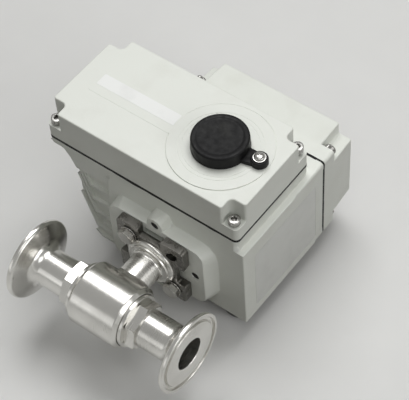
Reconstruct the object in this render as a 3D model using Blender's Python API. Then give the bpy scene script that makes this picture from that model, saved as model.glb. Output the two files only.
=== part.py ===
"""Sanitary clamp-end ball valve with a small electric quarter-turn actuator.

The origin is the centre of the ball, where the pipe line and the stem axis cross. X runs
along the pipe, Y along the stem from the valve to the actuator, and Z up out of the
actuator's gear cover. Sizes are in millimetres and become metres where meshes are made.
"""

import math

import bmesh
import bpy
from mathutils import Matrix, Vector

MM = 0.001

# Clearances
GAP = 0.3
FACE_GAP = 0.3
SEAL_PLAY = 0.1

# Valve: pipe side
FACE_TO_FACE = 112.0
FERRULE_R = 25.25
FERRULE_RIM = 2.9
FERRULE_SLOPE = math.tan(math.radians(20.0))
GROOVE_R = 21.8
GROOVE_W = 2.6
GROOVE_DEPTH = 1.4
BORE_R = 10.0
TUBE_R = 11.5
BARREL_R = 19.5
BARREL_LENGTH = 38.4
BARREL_CHAMFER = 2.2
BARREL_BORE_R = 15.7
SEAL_WIDTH = 1.1
SEAL_LENGTH = 0.8
SEAL_SEAT_R = BARREL_BORE_R + SEAL_WIDTH
HEX_FLATS = 25.4
HEX_LENGTH = 7.0
HEX_TURNS = (60.0, 20.0)
COLLAR_LENGTH = 0.5
BALL_R = 15.0
SEAT_BACK = 14.0
PLUG_END = SEAT_BACK + GAP

# Valve: stem side
STEM_R = 5.0
STEM_COLLAR_R = 6.6
STEM_SQUARE = 8.0
TANG_WIDTH = 5.4
TANG_LENGTH = 12.0
TANG_START = 11.4
SLOT_FLOOR = 11.0
NECK_R = 8.9
NECK_TOP = 33.4
PACKING_R = 7.2
PACKING_START = 24.0
PAD_FRONT = 37.3
PAD_BACK = 42.5
PAD_HALF = 23.8
PAD_RING_R = 16.0
PAD_CORNER_R = 3.0
PAD_SLOT_WIDTH = 15.5
PAD_SLOT_DEPTH = 5.8
PAD_HOLE_R = 2.8
PAD_BOLT_CIRCLE_R = 21.0
BOLT_FLATS = 8.0
BOLT_HEAD = 3.5
BOLT_WASHER = 0.7

# Actuator housing
MOUNT_FACE = PAD_BACK + FACE_GAP
FACE_Y = 50.8
HEAD_X = (-82.0, 52.3)
HEAD_Y = (FACE_Y, 118.7)
HEAD_TOP = 42.5
HEAD_DEPTH = 9.0
HEAD_CORNER_R = 3.5
MAIN_X = (-42.0, 56.3)
MAIN_BASE = -32.5
MAIN_TOP = 33.4
REAR_FACE = 128.2
REAR_X = (-46.8, 56.3)
REAR_TOP = 35.4
REAR_CORNER_R = 5.0
REAR_FLANGE = 7.0
MOUNT_HOLE_CIRCLE_R = 27.0
MOUNT_HOLE_R = 2.1
LOBE_R = 5.4
BOSS_HALF_X = 34.0
BOSS_HALF_Z = 24.2
BOSS_CORNER_R = 8.0
BOSS_FLARE = 4.6
BOSS_WEB_X = -43.2
BOSS_WEB_HALF_Z = 2.4
RIB_INSET = 0.6
RIB_HEIGHT = 2.0
RIB_THICKNESS = 1.6
# Motor housing's end, as (x, z) down from the gear head, and the part of it that stands full width
MOTOR_END = [(-64.4, 25.6), (-64.4, 3.7), (-59.7, -17.5), (-56.2, -32.3)]
HAUNCH_END = [(-81.4, 39.2), (-72.0, 37.0), (-67.9, 31.6), (-64.4, 24.6)]
# Ribs on both flat sides of the motor housing, as (x, z) along each
MOTOR_RIBS = [
    [(-40.0, 14.8), (-55.0, 14.8), (-58.8, 25.4)],
    [(-40.0, 2.0), (-55.2, 2.0), (-61.8, 25.4)],
    [(-40.0, -10.4), (-54.3, -10.4), (-63.4, 20.2)],
    [(-40.0, -24.2), (-55.0, -24.2), (-63.4, 3.0)],
    [(-40.0, -33.4), (-52.0, -33.4), (-56.6, -29.5)],
    [(-43.4, -17.0), (-49.4, -17.0)],
]
WALL = 3.0

# Gaskets and covers
GASKET = 0.8
GEAR_COVER_TOP = 67.7
GEAR_COVER_LEDGE = 55.5
GEAR_NOTCH = (9.8, 8.8)
COVER_STEP = 0.05
GEAR_COVER_DRAFT = 0.45
REAR_COVER_FLANGE = 9.5
REAR_COVER_DEPTH = 29.8
REAR_NOTCH = 10.2
REAR_COVER_DRAFT = 2.0
EDGE_R = 1.4
DISC_R = 30.4
DISC_RAISE = 0.4
WINDOW_R = 13.0
WINDOW_RIM_R = 15.0
DIAL_R = 11.6

# Gear train: every shaft is parallel to Z and lies on one line along X
TRAIN_Y = 0.5 * (HEAD_Y[0] + HEAD_Y[1])
MODULE = 1.0
MOTOR_TEETH = 13
IDLER_1_TEETH = (26, 16)
IDLER_2_TEETH = (24, 16)
WORM_GEAR_TEETH = 24
WORM_MODULE = 1.25
WHEEL_TEETH = 20
WORM_PITCH_R = 5.0
WHEEL_WIDTH = 6.0
TOOTH_SHARE = 0.40
ADDENDUM = 0.8
DEDENDUM = 1.1
FLANK = math.tan(math.radians(20.0))
PLATE_Z = HEAD_TOP + GAP
PLATE_THICKNESS = 2.5

# Output shaft and electrical side
SHAFT_R = 8.0
WHEEL_SEAT_R = 7.0
REAR_JOURNAL_R = 5.0
CAM_SHAFT_R = 4.0
BUSH_WALL = 1.7
CHAMBER_Y = (76.3, 92.9)
CHAMBER_X = (-16.0, 25.7)
CHAMBER_FLOOR = -22.0
REAR_CHAMBER_Y = 104.0
REAR_CHAMBER_X = (-36.3, 45.8)
REAR_CHAMBER_Z = (-22.3, 25.2)
DUCT_X = (29.0, 50.0)
DUCT_Z = (-26.0, 26.0)
MOTOR_R = 12.0
MOTOR_BASE = -24.0
MOTOR_TOP = 40.0

# Override cap
CAP_R = 16.8
CAP_HEIGHT = 8.2
CAP_TAB_REACH = 24.6
CAP_TAB_ANGLE = math.radians(6.0)
CAP_TAB_R = 5.0
CAP_TAB_THICKNESS = 2.4

# Cable glands
GLAND_X = 40.0
GLAND_Y = (66.0, 92.0)
GLAND_THREAD_R = 8.0
GLAND_FLATS = 22.0
GLAND_REACH = 17.5
GLAND_HOLE_R = 3.5

# Screws
SCREW_R = 1.6
SCREW_HOLE_R = 1.9
SCREW_HEAD_R = 3.5
SCREW_HEAD_H = 4.0
SCREW_SOCKET = 3.2

# Worked-out sizes
HALF_LENGTH = 0.5 * FACE_TO_FACE
HALF_BARREL = 0.5 * BARREL_LENGTH
PAD_HOLE = PAD_BOLT_CIRCLE_R / math.sqrt(2.0)
WHEEL_PITCH_R = 0.5 * WORM_MODULE * WHEEL_TEETH
WORM_X = WHEEL_PITCH_R + WORM_PITCH_R
WORM_LEAD = math.pi * WORM_MODULE
IDLER_2_X = WORM_X - 0.5 * MODULE * (WORM_GEAR_TEETH + IDLER_2_TEETH[1])
IDLER_1_X = IDLER_2_X - 0.5 * MODULE * (IDLER_2_TEETH[0] + IDLER_1_TEETH[1])
MOTOR_X = IDLER_1_X - 0.5 * MODULE * (IDLER_1_TEETH[0] + MOTOR_TEETH)
GEAR_COVER_BASE = HEAD_TOP + GASKET + 2.0 * FACE_GAP
GEAR_COVER_X = (HEAD_X[0], HEAD_X[1] + 0.4)
REAR_COVER_BASE = REAR_FACE + GASKET + 2.0 * FACE_GAP
REAR_COVER_END = REAR_COVER_BASE + REAR_COVER_DEPTH
REAR_Z = (MAIN_BASE, REAR_TOP)
DISC_TOP = GEAR_COVER_TOP + DISC_RAISE
CAP_BASE = DISC_TOP + GAP
CAP_TOP = CAP_BASE + CAP_HEIGHT
CAP_PIVOT = (
    WORM_X + CAP_TAB_REACH * math.cos(CAP_TAB_ANGLE),
    TRAIN_Y + CAP_TAB_REACH * math.sin(CAP_TAB_ANGLE),
)
PART_BASE = MAIN_BASE - GLAND_REACH
PLATE_TOP = PLATE_Z + PLATE_THICKNESS
RIB_Y = (HEAD_Y[0] + RIB_INSET, HEAD_Y[1] - RIB_INSET)
MOTOR_SIDE_Y = (RIB_Y[0] + RIB_HEIGHT, RIB_Y[1] - RIB_HEIGHT)
DIAL_BASE = REAR_COVER_END - 10.9
DIAL_TOP = DIAL_BASE + 3.1
CAM_SHAFT_END = DIAL_BASE - 0.5

# Colours: (red, green, blue, roughness, metallic)
PAINT = (0.78, 0.80, 0.75, 0.45, 0.0)
RUBBER = (0.02, 0.02, 0.02, 0.55, 0.0)
POLISHED = (0.62, 0.61, 0.58, 0.16, 1.0)
CAST_STEEL = (0.42, 0.41, 0.38, 0.4, 1.0)
STEEL = (0.5, 0.5, 0.5, 0.3, 1.0)
PTFE = (0.85, 0.85, 0.83, 0.5, 0.0)
BRONZE = (0.55, 0.36, 0.14, 0.35, 1.0)
BLACK_PLASTIC = (0.03, 0.03, 0.03, 0.4, 0.0)
NYLON = (0.72, 0.72, 0.68, 0.5, 0.0)
GREEN_BOARD = (0.02, 0.16, 0.06, 0.4, 0.0)
YELLOW = (0.75, 0.55, 0.03, 0.4, 0.0)
CLEAR = (0.8, 0.85, 0.88, 0.08, 0.0)


def clear_scene():
    """Remove whatever the file holds."""
    for obj in list(bpy.data.objects):
        bpy.data.objects.remove(obj, do_unlink=True)


def make_material(name, look):
    """Return a Principled material of the given look."""
    mat = bpy.data.materials.get(name) or bpy.data.materials.new(name)
    mat.use_nodes = True
    shader = mat.node_tree.nodes["Principled BSDF"]
    shader.inputs["Base Color"].default_value = (*look[:3], 1.0)
    shader.inputs["Roughness"].default_value = look[3]
    shader.inputs["Metallic"].default_value = look[4]
    return mat


def on_axis(axis, height, a, b):
    """Place a 2-D point (a, b) at a height along an axis."""
    places = {"X": (height, a, b), "Y": (a, height, b), "Z": (a, b, height)}
    return Vector(places[axis]) * MM


def axis_vector(axis):
    """Unit vector along a named axis."""
    return Vector({"X": (1, 0, 0), "Y": (0, 1, 0), "Z": (0, 0, 1)}[axis])


def rounded(corners, steps=3):
    """Outline through (a, b, radius) corners, each rounded by an arc."""
    outline = []
    count = len(corners)
    for index, (a, b, radius) in enumerate(corners):
        point = Vector((a, b))
        before = Vector(corners[index - 1][:2]) - point
        after = Vector(corners[(index + 1) % count][:2]) - point
        if radius <= 0.0:
            outline.append((a, b))
            continue
        before.normalize()
        after.normalize()
        half = 0.5 * before.angle(after)
        centre = point + (before + after).normalized() * (radius / math.sin(half))
        start = point + before * (radius / math.tan(half)) - centre
        end = point + after * (radius / math.tan(half)) - centre
        turn = start.angle_signed(end)
        for step in range(steps + 1):
            arm = start.copy()
            arm.rotate(Matrix.Rotation(-turn * step / steps, 2))
            outline.append(tuple(centre + arm))
    return outline


def rectangle(span_a, span_b, radius=0.0, steps=3):
    """Rounded rectangle between two spans."""
    (a0, a1), (b0, b1) = span_a, span_b
    corners = [(a0, b0, radius), (a1, b0, radius), (a1, b1, radius), (a0, b1, radius)]
    return rounded(corners, steps)


def notched(span_a, span_b, notch_a, notch_b, radius, steps=2):
    """Rectangle with a square notch cut from each corner."""
    (a0, a1), (b0, b1) = span_a, span_b
    inner = 1.6 * radius
    corners = [
        (a0 + notch_a, b0, radius), (a1 - notch_a, b0, radius), (a1 - notch_a, b0 + notch_b, inner),
        (a1, b0 + notch_b, radius), (a1, b1 - notch_b, radius), (a1 - notch_a, b1 - notch_b, inner),
        (a1 - notch_a, b1, radius), (a0 + notch_a, b1, radius), (a0 + notch_a, b1 - notch_b, inner),
        (a0, b1 - notch_b, radius), (a0, b0 + notch_b, radius), (a0 + notch_a, b0 + notch_b, inner),
    ]
    return rounded(corners, steps)


def grown(span, amount):
    """Span widened at both ends."""
    return (span[0] - amount, span[1] + amount)


def polygon(radius, sides, turn=0.0, centre=(0.0, 0.0)):
    """Regular outline with a corner at the turn angle."""
    points = []
    for side in range(sides):
        angle = turn + math.tau * side / sides
        points.append((centre[0] + radius * math.cos(angle), centre[1] + radius * math.sin(angle)))
    return points


def strip(path, width):
    """Outline of a bent strip of even width along a path."""
    points = [Vector(point) for point in path]
    sides = ([], [])
    for index, point in enumerate(points):
        arms = [b - a for a, b in zip(points, points[1:])][max(index - 1, 0):index + 1]
        normals = [arm.orthogonal().normalized() for arm in arms]
        mitre = normals[0] + normals[-1]
        mitre *= width / mitre.length_squared
        sides[0].append(tuple(point + mitre))
        sides[1].append(tuple(point - mitre))
    return sides[0] + sides[1][::-1]


def hexagon(flats, turn=0.0, centre=(0.0, 0.0)):
    """Hexagon by its size across flats."""
    return polygon(flats / math.sqrt(3.0), 6, turn, centre)


def loft(bm, sections, axis):
    """Skin closed sections of equal count, given as (outline, height), and cap both ends."""
    rings = []
    for outline, height in sections:
        rings.append([bm.verts.new(on_axis(axis, height, a, b)) for a, b in outline])
    for low, high in zip(rings, rings[1:]):
        for index in range(len(low)):
            after = (index + 1) % len(low)
            bm.faces.new((low[index], low[after], high[after], high[index]))
    caps = [bm.faces.new(rings[0]), bm.faces.new(rings[-1])]
    bmesh.ops.recalc_face_normals(bm, faces=bm.faces)
    return caps


def prism(bm, outline, axis, low, high):
    """Extrude a closed outline along an axis."""
    verts = [bm.verts.new(on_axis(axis, low, a, b)) for a, b in outline]
    face = bm.faces.new(verts)
    grown_part = bmesh.ops.extrude_face_region(bm, geom=[face])
    top = [item for item in grown_part["geom"] if isinstance(item, bmesh.types.BMVert)]
    bmesh.ops.translate(bm, verts=top, vec=axis_vector(axis) * (high - low) * MM)
    bmesh.ops.recalc_face_normals(bm, faces=bm.faces)


def soft_block(bm, outline_at, axis, low, high, edge, draft, steps=2):
    """Drafted extrusion whose far edge is rounded: outline_at(inset) gives the section."""
    sections = [(outline_at(0.0), low)]
    for step in range(steps + 1):
        angle = 0.5 * math.pi * step / steps
        inset = draft + edge * (1.0 - math.cos(angle))
        sections.append((outline_at(inset), high - edge * (1.0 - math.sin(angle))))
    loft(bm, sections, axis)


def turned(bm, profile, axis, centre=(0.0, 0.0), steps=20):
    """Spin a closed profile of (height, radius) points about an axis."""
    verts = []
    for height, radius in profile:
        verts.append(bm.verts.new(on_axis(axis, height, centre[0] + radius, centre[1])))
    edges = []
    for index, vert in enumerate(verts):
        after = (index + 1) % len(verts)
        on_centre = profile[index][1] == 0.0 and profile[after][1] == 0.0
        if not on_centre:
            edges.append(bm.edges.new((vert, verts[after])))
    bmesh.ops.spin(
        bm, geom=verts + edges, cent=on_axis(axis, 0.0, *centre), axis=axis_vector(axis),
        angle=math.tau, steps=steps, use_duplicate=False,
    )
    bmesh.ops.remove_doubles(bm, verts=bm.verts, dist=0.000001)
    bmesh.ops.recalc_face_normals(bm, faces=bm.faces)


def add(name, bm, look, at=(0.0, 0.0, 0.0), smooth=True):
    """Make an object from a mesh, with its origin at a point in millimetres."""
    bmesh.ops.translate(bm, verts=bm.verts, vec=-Vector(at) * MM)
    mesh = bpy.data.meshes.new(name)
    bm.to_mesh(mesh)
    bm.free()
    if smooth:
        mesh.shade_smooth()
        mesh.set_sharp_from_angle(angle=math.radians(32.0))
    obj = bpy.data.objects.new(name, mesh)
    bpy.context.scene.collection.objects.link(obj)
    obj.location = Vector(at) * MM
    obj.parent = bpy.data.objects["assembly"]
    if look is not None:
        mesh.materials.append(make_material(name, look))
    return obj


def tool(target, operation, bm):
    """Apply a hidden mesh to an object with an exact Boolean."""
    number = len(target.modifiers)
    helper = add(f"{target.name}_{operation.lower()}_{number}", bm, None, smooth=False)
    helper.hide_render = True
    helper.display_type = "WIRE"
    step = target.modifiers.new(f"{operation.lower()}_{number}", "BOOLEAN")
    step.operation = operation
    step.solver = "EXACT"
    step.object = helper


def cut(target, bm):
    """Subtract a mesh."""
    tool(target, "DIFFERENCE", bm)


def join(target, bm):
    """Add a mesh."""
    tool(target, "UNION", bm)


def gear_outline(teeth, module, turn=0.0, centre=(0.0, 0.0)):
    """Gear outline with straight flanks and a tooth centred on the turn angle."""
    pitch_r = 0.5 * module * teeth
    half = 0.5 * TOOTH_SHARE * math.pi * module
    tip = (pitch_r + ADDENDUM * module, half - ADDENDUM * module * FLANK)
    root = (pitch_r - DEDENDUM * module, half + DEDENDUM * module * FLANK)
    points = []
    for tooth in range(teeth):
        middle = turn + math.tau * tooth / teeth
        for radius, width in ((root[0], -root[1]), (tip[0], -tip[1]), (tip[0], tip[1]), (root[0], root[1])):
            angle = middle + width / radius
            points.append((centre[0] + radius * math.cos(angle), centre[1] + radius * math.sin(angle)))
    return points


def end_cap(name, side):
    """Threaded end cap: plug, collar, hexagon, tube and clamp ferrule with its gasket groove."""
    plug = PLUG_END
    collar = plug + SEAL_PLAY + SEAL_LENGTH + GAP
    hex_start = HALF_BARREL + COLLAR_LENGTH
    hex_end = hex_start + HEX_LENGTH
    rim_back = HALF_LENGTH - FERRULE_RIM
    root = rim_back - (FERRULE_R - TUBE_R) * FERRULE_SLOPE
    outer = [
        (plug, BORE_R), (plug, BARREL_BORE_R - GAP), (collar, BARREL_BORE_R - GAP),
        (collar, SEAL_SEAT_R - GAP), (hex_start, SEAL_SEAT_R - GAP), (hex_start, TUBE_R),
        (root - 1.2, TUBE_R), (root, TUBE_R + 0.6), (rim_back, FERRULE_R - 0.5),
        (rim_back + 0.5, FERRULE_R), (HALF_LENGTH - 0.4, FERRULE_R), (HALF_LENGTH, FERRULE_R - 0.4),
    ]
    groove = [
        (HALF_LENGTH, GROOVE_R + 0.5 * GROOVE_W), (HALF_LENGTH - GROOVE_DEPTH, GROOVE_R + 0.25 * GROOVE_W),
        (HALF_LENGTH - GROOVE_DEPTH, GROOVE_R - 0.25 * GROOVE_W), (HALF_LENGTH, GROOVE_R - 0.5 * GROOVE_W),
        (HALF_LENGTH, BORE_R),
    ]
    bm = bmesh.new()
    turned(bm, [(side * x, r) for x, r in outer + groove], "X", steps=32)
    cap = add(name, bm, POLISHED)
    ring = bmesh.new()
    turn = math.radians(HEX_TURNS[side > 0])
    loft_ends = sorted((side * hex_start, side * hex_end))
    prism(ring, hexagon(HEX_FLATS, turn), "X", loft_ends[0], loft_ends[1])
    join(cap, ring)
    bore = bmesh.new()
    bore_ends = sorted((side * (plug - 1.0), side * (hex_end + 1.0)))
    prism(bore, polygon(BORE_R, 32), "X", bore_ends[0], bore_ends[1])
    cut(cap, bore)


def ball():
    """Floating ball with its bore along the pipe and the stem slot across it."""
    bm = bmesh.new()
    arc = [math.pi * step / 12 for step in range(13)]
    profile = [(-BALL_R * math.cos(a), BALL_R * math.sin(a) if 0.0 < a < math.pi else 0.0) for a in arc]
    profile[0] = (-BALL_R, 0.0)
    profile[-1] = (BALL_R, 0.0)
    turned(bm, profile, "X", steps=24)
    obj = add("ball", bm, POLISHED)
    bore = bmesh.new()
    prism(bore, polygon(BORE_R, 24), "X", -BALL_R - 1.0, BALL_R + 1.0)
    cut(obj, bore)
    slot = bmesh.new()
    half = 0.5 * TANG_WIDTH + GAP
    prism(slot, rectangle((-half, half), (SLOT_FLOOR, BALL_R + 1.0)), "Z", -BALL_R - 1.0, BALL_R + 1.0)
    cut(obj, slot)


def seat(name, side):
    """Soft seat ring with a face that follows the ball."""
    reach = BALL_R + GAP
    face = []
    for step in range(3):
        radius = BORE_R + GAP + (13.4 - BORE_R - GAP) * step / 2
        face.append((side * math.sqrt(reach ** 2 - radius ** 2), radius))
    outer_r = BARREL_BORE_R - GAP
    back = side * SEAT_BACK
    bm = bmesh.new()
    turned(bm, face + [(face[-1][0], outer_r), (back, outer_r), (back, BORE_R)], "X")
    add(name, bm, PTFE)


def body_seal(name, side):
    """Ring that seals an end cap in the barrel."""
    low, high = side * (PLUG_END + SEAL_PLAY), side * (PLUG_END + SEAL_PLAY + SEAL_LENGTH)
    outer_r = BARREL_BORE_R + SEAL_WIDTH - GAP
    bm = bmesh.new()
    turned(bm, [(low, BARREL_BORE_R), (low, outer_r), (high, outer_r), (high, BARREL_BORE_R)], "X")
    add(name, bm, PTFE)


def pad_outline():
    """Square mounting pad with a slot in the middle of each side."""
    half, slot, depth = PAD_HALF, 0.5 * PAD_SLOT_WIDTH, PAD_HALF - PAD_SLOT_DEPTH
    quarter = [(half, -half, PAD_CORNER_R), (half, -slot, 1.0), (depth, -slot, 1.5),
               (depth, slot, 1.5), (half, slot, 1.0)]
    corners = []
    for turn in range(4):
        for a, b, radius in quarter:
            for _ in range(turn):
                a, b = -b, a
            corners.append((a, b, radius))
    return rounded(corners, 3)


def valve_body():
    """Barrel, neck and square mounting pad in one piece."""
    end = HALF_BARREL
    bm = bmesh.new()
    turned(bm, [
        (-end, 0.0), (-end, BARREL_R - BARREL_CHAMFER), (-end + BARREL_CHAMFER, BARREL_R),
        (end - BARREL_CHAMFER, BARREL_R), (end, BARREL_R - BARREL_CHAMFER), (end, 0.0),
    ], "X", steps=36)
    body = add("valve_body", bm, POLISHED)
    neck = bmesh.new()
    turned(neck, [
        (8.0, 0.0), (8.0, NECK_R + 2.4), (17.6, NECK_R + 2.0), (19.4, NECK_R + 0.7), (20.8, NECK_R),
        (NECK_TOP - 0.8, NECK_R), (NECK_TOP + 0.4, NECK_R + 0.9), (NECK_TOP + 0.9, NECK_R + 3.2),
        (NECK_TOP + 1.1, PAD_RING_R - 1.8), (35.4, PAD_RING_R - 1.2), (35.8, PAD_RING_R),
        (PAD_FRONT + 0.5, PAD_RING_R), (PAD_FRONT + 0.5, 0.0),
    ], "Y", steps=24)
    join(body, neck)
    pad = bmesh.new()
    prism(pad, pad_outline(), "Y", PAD_FRONT, PAD_BACK)
    join(body, pad)
    chamber = bmesh.new()
    turned(chamber, [
        (-end - 1.0, 0.0), (-end - 1.0, SEAL_SEAT_R), (-PLUG_END, SEAL_SEAT_R),
        (-PLUG_END, BARREL_BORE_R), (PLUG_END, BARREL_BORE_R), (PLUG_END, SEAL_SEAT_R),
        (end + 1.0, SEAL_SEAT_R), (end + 1.0, 0.0),
    ], "X", steps=28)
    cut(body, chamber)
    stem_way = bmesh.new()
    turned(stem_way, [
        (10.0, 0.0), (10.0, STEM_COLLAR_R + GAP), (18.3, STEM_COLLAR_R + GAP), (18.3, STEM_R + GAP),
        (PACKING_START, STEM_R + GAP), (PACKING_START, PACKING_R), (PAD_BACK + 1.0, PACKING_R),
        (PAD_BACK + 1.0, 0.0),
    ], "Y", steps=16)
    cut(body, stem_way)
    holes = bmesh.new()
    for a in (-PAD_HOLE, PAD_HOLE):
        for b in (-PAD_HOLE, PAD_HOLE):
            prism(holes, polygon(PAD_HOLE_R, 12, centre=(a, b)), "Y", 30.0, PAD_BACK + 1.0)
    cut(body, holes)


def stem():
    """Stem with a tang in the ball, a thrust collar and a square drive end."""
    half_w, half_l = 0.5 * TANG_WIDTH, 0.5 * TANG_LENGTH
    bm = bmesh.new()
    turned(bm, [(15.6, 0.0), (15.6, STEM_COLLAR_R - 0.2), (17.2, STEM_COLLAR_R - 0.2), (17.2, STEM_R),
                (42.0, STEM_R), (42.0, 0.0)], "Y", steps=16)
    obj = add("stem", bm, POLISHED)
    tang = bmesh.new()
    prism(tang, rectangle((-half_w, half_w), (-half_l, half_l), 0.8, 2), "Y", TANG_START, 16.2)
    join(obj, tang)
    square = bmesh.new()
    half = 0.5 * STEM_SQUARE
    prism(square, rectangle((-half, half), (-half, half), 1.2, 2), "Y", 41.0, 56.0)
    join(obj, square)


def ring(name, look, axis, span, inner, outer, centre=(0.0, 0.0), steps=14):
    """Plain ring: a washer, bush, bearing or seal."""
    low, high = span
    bm = bmesh.new()
    turned(bm, [(low, inner), (low, outer), (high, outer), (high, inner)], axis, centre, steps)
    return add(name, bm, look)


def stem_seals():
    """Thrust washer, packing and the gland that presses it."""
    ring("thrust_washer", PTFE, "Y", (17.5, 18.0), STEM_R + GAP, STEM_COLLAR_R)
    ring("stem_packing", PTFE, "Y", (PACKING_START + GAP, 31.0), STEM_R + GAP, PACKING_R - GAP)
    ring("packing_gland", STEEL, "Y", (31.3, PAD_BACK - 1.0), STEM_R + GAP, PACKING_R - GAP)


def pad_bolts():
    """Two hexagon bolts with washers on opposite corners of the pad."""
    washer = (PAD_FRONT - GAP - BOLT_WASHER, PAD_FRONT - GAP)
    head_high = washer[0] - GAP
    head_low = head_high - BOLT_HEAD
    for number, centre in enumerate(((-PAD_HOLE, PAD_HOLE), (PAD_HOLE, -PAD_HOLE)), start=1):
        bm = bmesh.new()
        prism(bm, polygon(2.3, 12, centre=centre), "Y", head_high - 2.0, MOUNT_FACE + 8.0)
        bolt = add(f"pad_bolt_{number}", bm, STEEL)
        head = bmesh.new()
        loft(head, [
            (hexagon(BOLT_FLATS - 1.0, 0.4, centre), head_low),
            (hexagon(BOLT_FLATS, 0.4, centre), head_low + 0.5), (hexagon(BOLT_FLATS, 0.4, centre), head_high),
        ], "Y")
        join(bolt, head)
        ring(f"pad_washer_{number}", STEEL, "Y", washer, 2.6, 4.7, centre, 16)


def motor_side(body):
    """Join the motor housing's slanted end, its full-width haunch under the head, and its ribs."""
    end = bmesh.new()
    prism(end, [(-38.0, MOTOR_END[0][1])] + MOTOR_END + [(-38.0, MOTOR_END[-1][1])], "Y", *MOTOR_SIDE_Y)
    join(body, end)
    haunch = bmesh.new()
    prism(haunch, [(-38.0, HAUNCH_END[0][1])] + HAUNCH_END + [(-38.0, HAUNCH_END[-1][1])], "Y", *RIB_Y)
    join(body, haunch)
    for path in MOTOR_RIBS:
        rib = bmesh.new()
        prism(rib, strip(path, RIB_THICKNESS), "Y", *RIB_Y)
        join(body, rib)


def mounting_boss(body):
    """Join the boss that carries the valve's pad, and the lobes of its upper and lower holes."""
    half_x, half_z = BOSS_HALF_X, BOSS_HALF_Z
    web_z = BOSS_WEB_HALF_Z
    front = rounded([
        (-half_x, -web_z, 0.0), (-half_x, -half_z, BOSS_CORNER_R), (half_x, -half_z, BOSS_CORNER_R),
        (half_x, half_z, BOSS_CORNER_R), (-half_x, half_z, BOSS_CORNER_R), (-half_x, web_z, 0.0),
    ])
    back = rounded([
        (BOSS_WEB_X, -web_z, 0.0), (-half_x + 2.2, -half_z - 0.8, 5.0),
        (half_x + BOSS_FLARE, -half_z - 0.8, 12.0), (half_x + BOSS_FLARE, half_z + 0.8, 12.0),
        (-half_x + 2.2, half_z + 0.8, 5.0), (BOSS_WEB_X, web_z, 0.0),
    ])
    boss = bmesh.new()
    loft(boss, [(front, MOUNT_FACE), (back, FACE_Y + 0.6)], "Y")
    join(body, boss)
    for side in (-1, 1):
        centre_z = side * MOUNT_HOLE_CIRCLE_R
        low, high = sorted((centre_z - side * (LOBE_R + 1.0), centre_z + side * LOBE_R))
        tip = rectangle((-LOBE_R, LOBE_R), (low, high), LOBE_R - 0.1)
        foot = [(-4.6 if side * b > side * centre_z else -10.0, b, 2.5) for b in (low, high)]
        foot = [(foot[0][0], low, 2.5), (-foot[0][0], low, 2.5), (-foot[1][0], high, 2.5), (foot[1][0], high, 2.5)]
        lobe = bmesh.new()
        loft(lobe, [(tip, MOUNT_FACE), (rounded(foot), FACE_Y + 0.6)], "Y")
        join(body, lobe)


def housing_blocks(body):
    """Join the head flange and the rear flange to the main block."""
    head = bmesh.new()
    prism(head, rectangle(HEAD_X, HEAD_Y, HEAD_CORNER_R), "Z", HEAD_TOP - 4.0, HEAD_TOP)
    join(body, head)
    upper = bmesh.new()
    prism(upper, rectangle((-40.0, HEAD_X[1]), HEAD_Y, 2.6), "Z", MAIN_TOP - 6.0, HEAD_TOP - 2.0)
    join(body, upper)
    flange = bmesh.new()
    prism(flange, rectangle(REAR_X, REAR_Z, REAR_CORNER_R), "Y", REAR_FACE - REAR_FLANGE, REAR_FACE)
    join(body, flange)


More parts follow.
